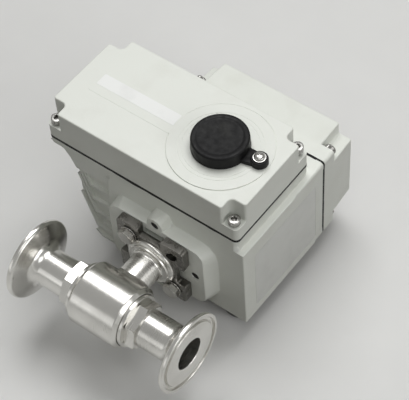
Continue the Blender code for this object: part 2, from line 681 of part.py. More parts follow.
def housing_cuts(body):
    """Cut the shaft bore, gear chamber, motor pocket, electrical chamber and screw holes."""
    bore = bmesh.new()
    turned(bore, [
        (MOUNT_FACE - 1.0, 0.0), (MOUNT_FACE - 1.0, SHAFT_R + BUSH_WALL + 2.0 * GAP),
        (CHAMBER_Y[0] + 1.0, SHAFT_R + BUSH_WALL + 2.0 * GAP), (CHAMBER_Y[0] + 1.0, REAR_JOURNAL_R),
        (CHAMBER_Y[1] - 1.0, REAR_JOURNAL_R), (CHAMBER_Y[1] - 1.0, REAR_JOURNAL_R + BUSH_WALL + 2.0 * GAP),
        (REAR_CHAMBER_Y + 1.0, REAR_JOURNAL_R + BUSH_WALL + 2.0 * GAP), (REAR_CHAMBER_Y + 1.0, 0.0),
    ], "Y", steps=20)
    cut(body, bore)
    chamber = bmesh.new()
    prism(chamber, rectangle(CHAMBER_X, CHAMBER_Y, 3.0, 2), "Z", CHAMBER_FLOOR, HEAD_TOP + 1.0)
    cut(body, chamber)
    pockets = bmesh.new()
    prism(pockets, polygon(MOTOR_R + 2.0 * GAP, 20, centre=(MOTOR_X, TRAIN_Y)), "Z",
          MOTOR_BASE - GAP, HEAD_TOP + 1.0)
    prism(pockets, polygon(7.3, 14, centre=(WORM_X, TRAIN_Y)), "Z", CHAMBER_FLOOR - 5.0, CHAMBER_FLOOR + 1.0)
    cut(body, pockets)
    rear = bmesh.new()
    prism(rear, rectangle(REAR_CHAMBER_X, REAR_CHAMBER_Z, 5.0, 2), "Y", REAR_CHAMBER_Y, REAR_FACE + 1.0)
    cut(body, rear)
    duct = bmesh.new()
    prism(duct, rectangle(DUCT_X, DUCT_Z, 4.0, 2), "Y", 57.5, REAR_CHAMBER_Y + 6.0)
    cut(body, duct)
    holes = bmesh.new()
    for x, y in gear_cover_screw_places():
        prism(holes, polygon(SCREW_HOLE_R, 8, centre=(x, y)), "Z", HEAD_TOP - 5.6, HEAD_TOP + 1.0)
    for x, z in rear_cover_screw_places():
        prism(holes, polygon(SCREW_HOLE_R, 8, centre=(x, z)), "Y", REAR_FACE - 11.0, REAR_FACE + 1.0)
    for quarter in range(4):
        angle = 0.5 * math.pi * quarter
        x, z = MOUNT_HOLE_CIRCLE_R * math.cos(angle), MOUNT_HOLE_CIRCLE_R * math.sin(angle)
        prism(holes, polygon(MOUNT_HOLE_R, 12, centre=(x, z)), "Y", MOUNT_FACE - 1.0, MOUNT_FACE + 8.0)
    for a in (-PAD_HOLE, PAD_HOLE):
        for b in (-PAD_HOLE, PAD_HOLE):
            prism(holes, polygon(2.6, 8, centre=(a, b)), "Y", MOUNT_FACE - 1.0, MOUNT_FACE + 9.0)
    for y in GLAND_Y:
        prism(holes, polygon(GLAND_THREAD_R + GAP, 16, centre=(GLAND_X, y)), "Z", MAIN_BASE - 1.0, DUCT_Z[0] + 1.0)
    cut(body, holes)


def housing():
    """Cast actuator housing."""
    bm = bmesh.new()
    prism(bm, rectangle(MAIN_X, (FACE_Y, REAR_FACE - 0.5 * REAR_FLANGE), 2.6), "Z", MAIN_BASE, MAIN_TOP)
    body = add("housing", bm, PAINT)
    housing_blocks(body)
    motor_side(body)
    mounting_boss(body)
    housing_cuts(body)


def gear_cover_screw_places():
    """Screw centres in the gear cover's corner notches."""
    xs = (GEAR_COVER_X[0] + 4.7, GEAR_COVER_X[1] - 4.7)
    ys = (HEAD_Y[0] + 4.3, HEAD_Y[1] - 4.3)
    return [(x, y) for x in xs for y in ys]


def rear_cover_screw_places():
    """Screw centres in the rear cover's corner notches."""
    xs = (REAR_X[0] + 5.0, REAR_X[1] - 5.0)
    zs = (REAR_Z[0] + 5.0, REAR_Z[1] - 5.0)
    return [(x, z) for x in xs for z in zs]


def gear_cover():
    """Gear cover: low skirt, notched upper shell, raised disc and the override opening."""
    bm = bmesh.new()
    prism(bm, rectangle(GEAR_COVER_X, HEAD_Y, 3.2), "Z", GEAR_COVER_BASE, GEAR_COVER_LEDGE)
    cover = add("gear_cover", bm, PAINT)
    upper = bmesh.new()

    def shell(inset):
        shrink = -(COVER_STEP + inset)
        return notched(grown(GEAR_COVER_X, shrink), grown(HEAD_Y, shrink), GEAR_NOTCH[0], GEAR_NOTCH[1], 1.6)

    soft_block(upper, shell, "Z", GEAR_COVER_LEDGE - 2.0, GEAR_COVER_TOP, EDGE_R, GEAR_COVER_DRAFT)
    join(cover, upper)
    disc = bmesh.new()
    prism(disc, polygon(DISC_R, 48, centre=(WORM_X, TRAIN_Y)), "Z", GEAR_COVER_TOP - 1.0, DISC_TOP)
    join(cover, disc)
    hollow = bmesh.new()
    prism(hollow, notched(grown(GEAR_COVER_X, -WALL), grown(HEAD_Y, -WALL), GEAR_NOTCH[0], GEAR_NOTCH[1], 1.2, 2),
          "Z", GEAR_COVER_BASE - 1.0, GEAR_COVER_TOP - WALL)
    cut(cover, hollow)
    holes = bmesh.new()
    prism(holes, polygon(5.2, 16, centre=(WORM_X, TRAIN_Y)), "Z", GEAR_COVER_TOP - WALL - 1.0, DISC_TOP + 1.0)
    prism(holes, polygon(1.5, 8, centre=CAP_PIVOT), "Z", GEAR_COVER_TOP - WALL - 1.0, DISC_TOP + 1.0)
    for x, y in gear_cover_screw_places():
        prism(holes, polygon(SCREW_HOLE_R, 8, centre=(x, y)), "Z", GEAR_COVER_BASE - 1.0, GEAR_COVER_LEDGE + 1.0)
    cut(cover, holes)


def rear_cover():
    """Electrical cover: flange, notched box with draft and the indicator window's opening."""
    bm = bmesh.new()
    ledge = REAR_COVER_BASE + REAR_COVER_FLANGE
    prism(bm, rectangle(REAR_X, REAR_Z, REAR_CORNER_R), "Y", REAR_COVER_BASE, ledge)
    cover = add("rear_cover", bm, PAINT)
    box = bmesh.new()

    def shell(inset):
        shrink = -(COVER_STEP + inset)
        return notched(grown(REAR_X, shrink), grown(REAR_Z, shrink), REAR_NOTCH, REAR_NOTCH, 1.8)

    soft_block(box, shell, "Y", ledge - 2.0, REAR_COVER_END, EDGE_R, REAR_COVER_DRAFT)
    join(cover, box)
    hollow = bmesh.new()
    prism(hollow, notched(grown(REAR_X, -WALL - 1.0), grown(REAR_Z, -WALL - 1.0), REAR_NOTCH, REAR_NOTCH, 1.4, 2),
          "Y", REAR_COVER_BASE - 1.0, REAR_COVER_END - WALL)
    cut(cover, hollow)
    window = bmesh.new()
    turned(window, [
        (REAR_COVER_END - WALL - 1.0, 0.0), (REAR_COVER_END - WALL - 1.0, WINDOW_R),
        (REAR_COVER_END - 1.4, WINDOW_R), (REAR_COVER_END - 1.4, WINDOW_RIM_R),
        (REAR_COVER_END + 1.0, WINDOW_RIM_R), (REAR_COVER_END + 1.0, 0.0),
    ], "Y", steps=24)
    cut(cover, window)
    holes = bmesh.new()
    for x, z in rear_cover_screw_places():
        prism(holes, polygon(SCREW_HOLE_R, 8, centre=(x, z)), "Y", REAR_COVER_BASE - 1.0, ledge + 1.0)
    cut(cover, holes)


def cover_gasket(name, axis, spans, corner, base, places):
    """Flat gasket frame with screw holes."""
    bm = bmesh.new()
    prism(bm, rectangle(grown(spans[0], -0.5), grown(spans[1], -0.5), corner), axis, base, base + GASKET)
    gasket = add(name, bm, RUBBER)
    opening = bmesh.new()
    prism(opening, notched(grown(spans[0], -WALL - 0.6), grown(spans[1], -WALL - 0.6), 9.8, 9.0, 1.2, 2),
          axis, base - 1.0, base + GASKET + 1.0)
    cut(gasket, opening)
    holes = bmesh.new()
    for centre in places:
        prism(holes, polygon(SCREW_HOLE_R, 8, centre=centre), axis, base - 1.0, base + GASKET + 1.0)
    cut(gasket, holes)


def socket_screws(name, axis, places, seat_at, tip_at):
    """Socket head cap screws standing on a seat; every second socket point is a corner."""
    low = seat_at + GAP
    top = low + SCREW_HEAD_H
    corner_r = SCREW_SOCKET / math.sqrt(3.0)
    for number, centre in enumerate(places, start=1):
        socket = []
        for index, angle in enumerate(math.tau * step / 12 for step in range(12)):
            radius = corner_r if index % 2 == 0 else 0.5 * SCREW_SOCKET
            socket.append((centre[0] + radius * math.cos(angle), centre[1] + radius * math.sin(angle)))
        bm = bmesh.new()
        loft(bm, [
            (polygon(SCREW_R, 12, centre=centre), tip_at), (polygon(SCREW_R, 12, centre=centre), low),
            (polygon(SCREW_HEAD_R, 12, centre=centre), low),
            (polygon(SCREW_HEAD_R, 12, centre=centre), top - 0.4),
            (polygon(SCREW_HEAD_R - 0.4, 12, centre=centre), top), (socket, top), (socket, top - 2.4),
        ], axis)
        add(f"{name}_{number}", bm, STEEL)


def covers():
    """Both covers with their gaskets and screws."""
    gear_cover()
    rear_cover()
    cover_gasket("gear_cover_gasket", "Z", (GEAR_COVER_X, HEAD_Y), 3.2, HEAD_TOP + FACE_GAP,
                 gear_cover_screw_places())
    cover_gasket("rear_cover_gasket", "Y", (REAR_X, REAR_Z), REAR_CORNER_R, REAR_FACE + FACE_GAP,
                 rear_cover_screw_places())
    socket_screws("gear_cover_screw", "Z", gear_cover_screw_places(), GEAR_COVER_LEDGE, HEAD_TOP - 5.0)
    socket_screws("rear_cover_screw", "Y", rear_cover_screw_places(),
                  REAR_COVER_BASE + REAR_COVER_FLANGE, REAR_FACE - 10.0)


def override_cap():
    """Rubber cap over the override shaft, with its tab, and the screw it turns on."""
    at = (CAP_PIVOT[0], CAP_PIVOT[1], CAP_BASE)
    centre = (WORM_X, TRAIN_Y)
    bm = bmesh.new()
    top = CAP_TOP
    turned(bm, [
        (CAP_BASE, 0.0), (CAP_BASE, CAP_R), (CAP_BASE + 1.0, CAP_R + 0.2), (top - 1.4, CAP_R - 0.1),
        (top - 0.4, CAP_R - 0.5), (top, CAP_R - 1.4), (top, CAP_R - 2.8), (top - 0.9, CAP_R - 3.6),
        (top - 1.3, 0.55 * CAP_R), (top - 1.5, 0.0),
    ], "Z", centre, 28)
    cap = add("override_cap", bm, RUBBER, at)
    tab = bmesh.new()
    along = Vector((math.cos(CAP_TAB_ANGLE), math.sin(CAP_TAB_ANGLE)))
    across = Vector((-along.y, along.x))
    start = Vector(centre) + along * (CAP_R - 3.0)
    pivot = Vector(CAP_PIVOT)
    outline = [tuple(start - across * (CAP_TAB_R + 1.5))]
    for step in range(9):
        angle = CAP_TAB_ANGLE - 0.5 * math.pi + math.pi * step / 8
        outline.append((pivot.x + CAP_TAB_R * math.cos(angle), pivot.y + CAP_TAB_R * math.sin(angle)))
    outline.append(tuple(start + across * (CAP_TAB_R + 1.5)))
    prism(tab, outline, "Z", CAP_BASE, CAP_BASE + CAP_TAB_THICKNESS)
    join(cap, tab)
    hole = bmesh.new()
    prism(hole, polygon(1.7, 10, centre=CAP_PIVOT), "Z", CAP_BASE - 1.0, top)
    cut(cap, hole)
    tab_top = CAP_BASE + CAP_TAB_THICKNESS
    screw = bmesh.new()
    turned(screw, [
        (GEAR_COVER_TOP - WALL - 1.0, 0.0), (GEAR_COVER_TOP - WALL - 1.0, 1.2), (tab_top + GAP, 1.2),
        (tab_top + GAP, 3.8), (tab_top + 0.9, 3.8), (tab_top + 0.9, 3.0), (tab_top + 2.0, 2.7),
        (tab_top + 2.7, 1.6), (tab_top + 2.8, 0.0),
    ], "Z", CAP_PIVOT, 14)
    head = add("cap_screw", screw, STEEL)
    for angle in (0.5, 0.5 + 0.5 * math.pi):
        arm = Vector((math.cos(angle), math.sin(angle)))
        side = Vector((-arm.y, arm.x)) * 0.35
        corners = [arm * 1.7 + side, arm * 1.7 - side, -arm * 1.7 - side, -arm * 1.7 + side]
        bar = bmesh.new()
        prism(bar, [tuple(pivot + corner) for corner in corners], "Z", tab_top + 1.7, tab_top + 4.0)
        cut(head, bar)


def output_shaft():
    """Output shaft with its square socket, wheel seat, journals and cam shaft."""
    bm = bmesh.new()
    shoulder = TRAIN_Y - 0.5 * WHEEL_WIDTH - GAP
    turned(bm, [
        (MOUNT_FACE + 1.0, 0.0), (MOUNT_FACE + 1.0, SHAFT_R), (shoulder, SHAFT_R), (shoulder, WHEEL_SEAT_R),
        (CHAMBER_Y[1] - 0.5, WHEEL_SEAT_R), (CHAMBER_Y[1] - 0.5, REAR_JOURNAL_R),
        (REAR_CHAMBER_Y + 1.0, REAR_JOURNAL_R), (REAR_CHAMBER_Y + 1.0, CAM_SHAFT_R),
        (CAM_SHAFT_END, CAM_SHAFT_R), (CAM_SHAFT_END, 0.0),
    ], "Y", steps=18)
    shaft = add("output_shaft", bm, STEEL)
    socket = bmesh.new()
    half = 0.5 * STEM_SQUARE + GAP
    prism(socket, rectangle((-half, half), (-half, half), 1.0, 2), "Y", MOUNT_FACE, 56.0 + 2.0)
    cut(shaft, socket)


def worm_wheel():
    """Worm wheel with skewed teeth that follow the worm's lead angle."""
    half = 0.5 * WHEEL_WIDTH
    skew = half * math.tan(math.atan(WORM_LEAD / (math.tau * WORM_PITCH_R))) / WHEEL_PITCH_R
    bm = bmesh.new()
    low = gear_outline(WHEEL_TEETH, WORM_MODULE, skew)
    high = gear_outline(WHEEL_TEETH, WORM_MODULE, -skew)
    loft(bm, [(low, TRAIN_Y - half), (high, TRAIN_Y + half)], "Y")
    wheel = add("worm_wheel", bm, BRONZE)
    bore = bmesh.new()
    prism(bore, polygon(WHEEL_SEAT_R + GAP, 18), "Y", TRAIN_Y - half - 1.0, TRAIN_Y + half + 1.0)
    cut(wheel, bore)


def worm_shaft():
    """Worm shaft with its thread, journals and hexagon socket for the override key."""
    centre = (WORM_X, TRAIN_Y)
    root_r = WORM_PITCH_R - DEDENDUM * WORM_MODULE - 0.1
    journal = 3.2
    bm = bmesh.new()
    turned(bm, [
        (CHAMBER_FLOOR - 4.4, 0.0), (CHAMBER_FLOOR - 4.4, journal), (CHAMBER_FLOOR + 1.0, journal),
        (CHAMBER_FLOOR + 1.0, root_r), (16.0, root_r), (16.0, 4.0), (PLATE_TOP + 15.6, 4.0),
        (PLATE_TOP + 15.6, 4.7), (GEAR_COVER_TOP - 1.0, 4.7), (GEAR_COVER_TOP - 1.0, 0.0),
    ], "Z", centre, 16)
    shaft = add("worm_shaft", bm, STEEL, (WORM_X, TRAIN_Y, 0.0))
    thread = bmesh.new()
    half = 0.5 * TOOTH_SHARE * WORM_LEAD
    tip_r = WORM_PITCH_R + ADDENDUM * WORM_MODULE
    inner_r = root_r - 0.6
    tip_half = half - ADDENDUM * WORM_MODULE * FLANK
    root_half = half + (WORM_PITCH_R - inner_r) * FLANK
    steps_per_turn = 14
    # An odd number of turns puts a gap, not a thread, at the wheel's middle tooth
    turns = 5
    sections = []
    for step in range(turns * steps_per_turn + 1):
        angle = math.tau * step / steps_per_turn
        height = WORM_LEAD * (step / steps_per_turn - 0.5 * turns)
        shape = []
        for radius, offset in ((inner_r, -root_half), (tip_r, -tip_half), (tip_r, tip_half), (inner_r, root_half)):
            x = WORM_X + radius * math.cos(angle + math.pi)
            y = TRAIN_Y + radius * math.sin(angle + math.pi)
            shape.append(Vector((x, y, height + offset)) * MM)
        sections.append([thread.verts.new(point) for point in shape])
    for low, high in zip(sections, sections[1:]):
        for index in range(4):
            after = (index + 1) % 4
            thread.faces.new((low[index], low[after], high[after], high[index]))
    thread.faces.new(sections[0])
    thread.faces.new(sections[-1])
    bmesh.ops.recalc_face_normals(thread, faces=thread.faces)
    join(shaft, thread)
    key = bmesh.new()
    prism(key, hexagon(5.2, 0.2, centre), "Z", GEAR_COVER_TOP - 7.0, GEAR_COVER_TOP)
    cut(shaft, key)


def spur(bm, teeth, x, low, high, phase):
    """Spur gear on the train line."""
    prism(bm, gear_outline(teeth, MODULE, phase, (x, TRAIN_Y)), "Z", low, high)


def gear_train():
    """Motor pinion, two double idlers and the gear on the worm shaft, in mesh at rest."""
    base = PLATE_TOP
    pinion = bmesh.new()
    spur(pinion, MOTOR_TEETH, MOTOR_X, base + 0.9, base + 5.7, 0.0)
    obj = add("motor_pinion", pinion, STEEL, (MOTOR_X, TRAIN_Y, base))
    rod = bmesh.new()
    prism(rod, polygon(1.7, 10, centre=(MOTOR_X, TRAIN_Y)), "Z", MOTOR_TOP - 7.0, base + 7.0)
    join(obj, rod)
    layers = (
        ("idler_gear_1", IDLER_1_X, IDLER_1_TEETH, (base + 1.6, base + 4.8, base + 10.0), 3.2),
        ("idler_gear_2", IDLER_2_X, IDLER_2_TEETH, (base + 6.1, base + 9.3, base + 14.6), 3.6),
    )
    for name, x, teeth, (low, middle, high), hub_r in layers:
        wheel = bmesh.new()
        spur(wheel, teeth[0], x, low, middle, math.pi / teeth[0])
        gear = add(name, wheel, NYLON, (x, TRAIN_Y, base))
        small = bmesh.new()
        spur(small, teeth[1], x, middle - 0.4, high, 0.0)
        join(gear, small)
        hub = bmesh.new()
        prism(hub, polygon(hub_r, 12, centre=(x, TRAIN_Y)), "Z", base + GAP, low + 0.5)
        join(gear, hub)
        bore = bmesh.new()
        prism(bore, polygon(1.8, 10, centre=(x, TRAIN_Y)), "Z", base - 1.0, high + 1.0)
        cut(gear, bore)
    big = bmesh.new()
    spur(big, WORM_GEAR_TEETH, WORM_X, base + 10.9, base + 14.1, math.pi / WORM_GEAR_TEETH)
    gear = add("worm_gear", big, STEEL, (WORM_X, TRAIN_Y, base))
    hub = bmesh.new()
    prism(hub, polygon(6.4, 14, centre=(WORM_X, TRAIN_Y)), "Z", base + 6.0, base + 15.2)
    join(gear, hub)
    bore = bmesh.new()
    prism(bore, polygon(4.3, 12, centre=(WORM_X, TRAIN_Y)), "Z", base + 5.0, base + 16.0)
    cut(gear, bore)


def gear_plate():
    """Plate on the housing's top that carries the idler pins and the upper worm bearing."""
    bm = bmesh.new()
    prism(bm, rectangle((MOTOR_X - 16.0, WORM_X + 16.0), (TRAIN_Y - 20.0, TRAIN_Y + 20.0), 6.0), "Z",
          PLATE_Z, PLATE_TOP)
    plate = add("gear_plate", bm, STEEL)
    sleeve = bmesh.new()
    prism(sleeve, polygon(7.7, 14, centre=(WORM_X, TRAIN_Y)), "Z", PLATE_Z - 6.0, PLATE_Z + 1.0)
    join(plate, sleeve)
    holes = bmesh.new()
    prism(holes, polygon(6.5, 14, centre=(WORM_X, TRAIN_Y)), "Z", PLATE_Z - 7.0, PLATE_TOP - 1.0)
    prism(holes, polygon(3.0, 10, centre=(MOTOR_X, TRAIN_Y)), "Z", PLATE_Z - 1.0, PLATE_TOP + 1.0)
    cut(plate, holes)
    mouth = bmesh.new()
    prism(mouth, polygon(4.6, 12, centre=(WORM_X, TRAIN_Y)), "Z", PLATE_Z, PLATE_TOP + 1.0)
    cut(plate, mouth)
    pins = bmesh.new()
    for x, top in ((IDLER_1_X, PLATE_TOP + 11.5), (IDLER_2_X, PLATE_TOP + 16.0)):
        prism(pins, polygon(1.5, 10, centre=(x, TRAIN_Y)), "Z", PLATE_TOP - 1.0, top)
    join(plate, pins)


def drive():
    """Everything between the motor and the output shaft."""
    output_shaft()
    worm_wheel()
    worm_shaft()
    gear_train()
    gear_plate()
    ring("front_bush", BRONZE, "Y", (52.0, 70.0), SHAFT_R + GAP, SHAFT_R + BUSH_WALL + GAP)
    ring("shaft_seal", RUBBER, "Y", (70.6, 75.6), SHAFT_R + GAP, SHAFT_R + BUSH_WALL + GAP)
    ring("rear_bush", BRONZE, "Y", (CHAMBER_Y[1] + 0.6, REAR_CHAMBER_Y - 0.4),
         REAR_JOURNAL_R + GAP, REAR_JOURNAL_R + BUSH_WALL + GAP)
    centre = (WORM_X, TRAIN_Y)
    ring("worm_bearing_lower", STEEL, "Z", (CHAMBER_FLOOR - 4.7, CHAMBER_FLOOR - 0.2), 3.5, 7.0, centre)
    ring("worm_bearing_upper", STEEL, "Z", (PLATE_Z - 5.6, PLATE_Z + 1.0), 4.3, 6.2, centre)
    motor = bmesh.new()
    turned(motor, [
        (MOTOR_BASE, 0.0), (MOTOR_BASE, MOTOR_R - 1.5), (MOTOR_BASE + 1.5, MOTOR_R), (16.0, MOTOR_R),
        (16.0, MOTOR_R - 1.0), (17.0, MOTOR_R - 1.0), (17.0, MOTOR_R), (MOTOR_TOP, MOTOR_R), (MOTOR_TOP, 5.0),
        (PLATE_Z - GAP, 5.0), (PLATE_Z - GAP, 0.0),
    ], "Z", (MOTOR_X, TRAIN_Y), 20)
    obj = add("motor", motor, STEEL)
    bore = bmesh.new()
    prism(bore, polygon(2.0, 10, centre=(MOTOR_X, TRAIN_Y)), "Z", MOTOR_TOP - 8.0, PLATE_Z + 1.0)
    cut(obj, bore)


def cam(name, low, look, lobe_at):
    """Switch cam: a disc with one raised lobe."""
    points = []
    for step in range(24):
        angle = math.tau * step / 24
        lift = 1.6 if abs((angle - lobe_at + math.pi) % math.tau - math.pi) < 0.3 else 0.0
        points.append(((7.4 + lift) * math.cos(angle), (7.4 + lift) * math.sin(angle)))
    bm = bmesh.new()
    prism(bm, points, "Y", low, low + 3.6)
    obj = add(name, bm, look)
    bore = bmesh.new()
    prism(bore, polygon(CAM_SHAFT_R + GAP, 12), "Y", low - 1.0, low + 5.0)
    cut(obj, bore)


def electrical():
    """Cams, limit switches, board, terminals, capacitor, indicator and window."""
    floor = REAR_CHAMBER_Y
    cam("cam_open", floor + 4.6, NYLON, 0.0)
    cam("cam_close", floor + 11.4, BLACK_PLASTIC, math.pi)
    bracket = bmesh.new()
    prism(bracket, rectangle((-14.0, 14.0), (11.0, 24.4), 1.5, 2), "Y", floor + GAP, floor + 2.3)
    add("switch_bracket", bracket, STEEL)
    for number, low in enumerate((floor + 2.6, floor + 9.4), start=1):
        switch = bmesh.new()
        prism(switch, [(-10.0, 13.0), (-6.0, 13.0), (-5.0, 10.2), (-2.0, 10.2), (-1.0, 13.0), (10.0, 13.0),
                       (10.0, 23.4), (-10.0, 23.4)], "Y", low, low + 6.4)
        add(f"limit_switch_{number}", switch, BLACK_PLASTIC, smooth=False)
    capacitor = bmesh.new()
    turned(capacitor, [(-20.0, 0.0), (-20.0, 6.0), (12.0, 6.0), (12.0, 5.4), (13.0, 5.0), (13.0, 0.0)], "Z",
           (-24.2, floor + GAP + 6.0), 14)
    add("motor_capacitor", capacitor, STEEL)
    board = bmesh.new()
    prism(board, rectangle((-35.0, -13.0), (-20.5, 23.5), 1.5, 2), "Y", floor + 14.5, floor + 16.1)
    obj = add("circuit_board", board, GREEN_BOARD)
    posts = bmesh.new()
    for x, z in ((-33.2, 21.5), (-16.2, 21.5), (-33.2, -18.6), (-16.2, -18.6)):
        prism(posts, polygon(1.5, 6, centre=(x, z)), "Y", floor + GAP, floor + 15.0)
    join(obj, posts)
    block = bmesh.new()
    prism(block, [(24.0, floor + GAP), (27.5, floor + GAP), (27.5, floor + 6.0), (38.0, floor + 8.6),
                  (38.0, floor + 13.0), (34.0, floor + 15.5), (28.0, floor + 15.5), (24.0, floor + 12.0)],
          "Z", -19.0, 21.0)
    strip = add("terminal_block", block, BLACK_PLASTIC, smooth=False)
    wells = bmesh.new()
    for number in range(6):
        z = -15.6 + 6.6 * number
        prism(wells, polygon(1.8, 8, centre=(31.0, z)), "Y", floor + 13.4, floor + 17.0)
    cut(strip, wells)
    indicator = bmesh.new()
    hub = DIAL_BASE - 6.5
    turned(indicator, [
        (hub, CAM_SHAFT_R + GAP), (hub, 6.5), (DIAL_BASE, 6.5), (DIAL_BASE, DIAL_R),
        (DIAL_TOP - 0.6, DIAL_R), (DIAL_TOP, DIAL_R - 0.6), (DIAL_TOP, 0.0), (DIAL_BASE - 0.1, 0.0),
        (DIAL_BASE - 0.1, CAM_SHAFT_R + GAP),
    ], "Y", steps=20)
    dial = add("indicator_disc", indicator, YELLOW)
    arrow = bmesh.new()
    prism(arrow, rectangle((-9.0, 9.0), (-1.6, 1.6)), "Y", DIAL_TOP - 0.6, DIAL_TOP + 0.8)
    join(dial, arrow)
    end = REAR_COVER_END
    ring_profile = [
        (end - WALL - 0.4, 0.0), (end - WALL - 0.4, WINDOW_R - GAP), (end - 1.1, WINDOW_R - GAP),
        (end - 1.1, WINDOW_RIM_R - GAP), (end, WINDOW_RIM_R - GAP), (end + 0.6, WINDOW_R - 1.0), (end + 0.9, 0.0),
    ]
    lens = bmesh.new()
    turned(lens, ring_profile, "Y", steps=24)
    add("indicator_window", lens, CLEAR)


def cable_glands():
    """Two cable glands under the housing: threaded body, dome nut and sealing insert."""
    flats = GLAND_FLATS
    base = MAIN_BASE - GAP
    low = PART_BASE
    for number, y in enumerate(GLAND_Y, start=1):
        centre = (GLAND_X, y)
        body = bmesh.new()
        turned(body, [
            (DUCT_Z[0] + 3.0, GLAND_HOLE_R + 1.5), (DUCT_Z[0] + 3.0, GLAND_THREAD_R), (base, GLAND_THREAD_R),
            (base, 0.5 * flats), (base - 4.0, 0.5 * flats), (base - 4.0, 7.2), (low + 6.5, 7.2),
            (low + 6.5, GLAND_HOLE_R + 1.5),
        ], "Z", centre, 18)
        add(f"gland_body_{number}", body, BLACK_PLASTIC)
        nut = bmesh.new()
        turned(nut, [
            (base - 4.0 - GAP, 7.5), (base - 4.0 - GAP, 0.5 * flats - 0.6), (low + 4.5, 0.5 * flats - 0.8),
            (low + 1.4, 0.5 * flats - 2.6), (low, 0.5 * flats - 4.4), (low, GLAND_HOLE_R),
            (low + 6.2, GLAND_HOLE_R), (low + 6.2, 7.5),
        ], "Z", centre, 18)
        add(f"gland_nut_{number}", nut, BLACK_PLASTIC)


def main():
    """Build the whole valve."""
    clear_scene()
    assembly = bpy.data.objects.new("assembly", None)
    bpy.context.scene.collection.objects.link(assembly)
    valve_body()
    end_cap("end_cap_left", -1)
    end_cap("end_cap_right", 1)
    ball()
    seat("seat_left", -1)
    seat("seat_right", 1)
    body_seal("body_seal_left", -1)
    body_seal("body_seal_right", 1)
    stem()
    stem_seals()
    pad_bolts()
    housing()
    covers()
    override_cap()
    drive()
    electrical()
    cable_glands()
    bpy.context.view_layer.update()


main()
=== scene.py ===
"""Look of a sanitary ball valve with a small electric quarter-turn actuator bolted to its pad.

The valve is polished stainless steel and lies along X. The actuator stands behind it along Y:
a painted cast housing with a gear cover on top and an electrical cover at the rear. Sizes are
in millimetres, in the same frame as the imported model, and become metres where meshes are made.
"""

import logging
import math
from collections.abc import Iterable, Sequence
from dataclasses import dataclass
from enum import Enum
from typing import Any, ClassVar

import bmesh
import bpy
from bmesh.types import BMEdge, BMesh
from mathutils import Matrix, Vector


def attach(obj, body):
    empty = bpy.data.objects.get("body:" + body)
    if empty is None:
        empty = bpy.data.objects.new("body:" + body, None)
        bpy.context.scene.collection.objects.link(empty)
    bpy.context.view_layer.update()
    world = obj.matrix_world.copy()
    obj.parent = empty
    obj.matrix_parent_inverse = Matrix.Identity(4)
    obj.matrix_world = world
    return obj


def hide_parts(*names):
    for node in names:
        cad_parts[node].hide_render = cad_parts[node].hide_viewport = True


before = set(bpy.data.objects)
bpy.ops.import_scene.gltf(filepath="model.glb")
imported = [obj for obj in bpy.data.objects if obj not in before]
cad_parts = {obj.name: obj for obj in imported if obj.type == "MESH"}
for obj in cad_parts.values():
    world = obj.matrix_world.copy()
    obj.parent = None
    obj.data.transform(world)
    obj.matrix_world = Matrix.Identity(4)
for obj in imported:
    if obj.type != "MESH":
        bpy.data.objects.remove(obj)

MM = 0.001
SHARP = math.radians(36.0)
SLIVER = 1e-7  # square metres under which a face is too small to carry a bevel

Corner = tuple[float, float, float]
Point = tuple[float, float]
Colour = tuple[float, float, float]

log = logging.getLogger("valve")


class Axis(Enum):
    """Direction that a turned or extruded shape follows."""

    X = "X"
    Y = "Y"
    Z = "Z"

    def vector(self) -> Vector:
        """Unit vector along the axis."""
        return Vector([float(self.value == name) for name in "XYZ"])

    def place(self, a: float, b: float, height: float) -> Vector:
        """Point at (a, b) across the axis and a height along it, from millimetres to metres."""
        points = {"X": (height, a, b), "Y": (a, height, b), "Z": (a, b, height)}
        return Vector(points[self.value]) * MM

    def plane(self, centre: Point, height: float, turn: float) -> Matrix:
        """Matrix that lays a flat shape across the axis.

        Args:
            centre: Where its middle goes, across the axis.
            height: Where it lies along the axis.
            turn: Direction in which the shape's first corner points, in degrees.

        Returns:
            The placing matrix, in metres.
        """
        columns = {"X": ((0, 0, 1), (1, 0, 0), (0, 1, 0)), "Y": ((1, 0, 0), (0, 0, -1), (0, 1, 0)),
                   "Z": ((1, 0, 0), (0, 1, 0), (0, 0, 1))}
        turned = Matrix(columns[self.value]).to_4x4() @ Matrix.Rotation(math.radians(turn - 90.0), 4, "Z")
        return Matrix.Translation(self.place(*centre, height)) @ turned


class Body(Enum):
    """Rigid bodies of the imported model."""

    STILL = "valve_and_housing"
    OUTPUT = "output_train"
    CAP = "cap"


class Slot(Enum):
    """Material slots of the record."""

    POLISHED_STEEL = "polished_steel"
    SCREW_STEEL = "screw_steel"
    MACHINE_STEEL = "machine_steel"
    PAINT = "paint"
    BLACK_RUBBER = "black_rubber"
    PTFE = "ptfe"
    BRONZE = "bronze"
    NYLON = "nylon"
    BLACK_PLASTIC = "black_plastic"
    BOARD = "board"
    YELLOW_PLASTIC = "yellow_plastic"
    CLEAR_WINDOW = "clear_window"


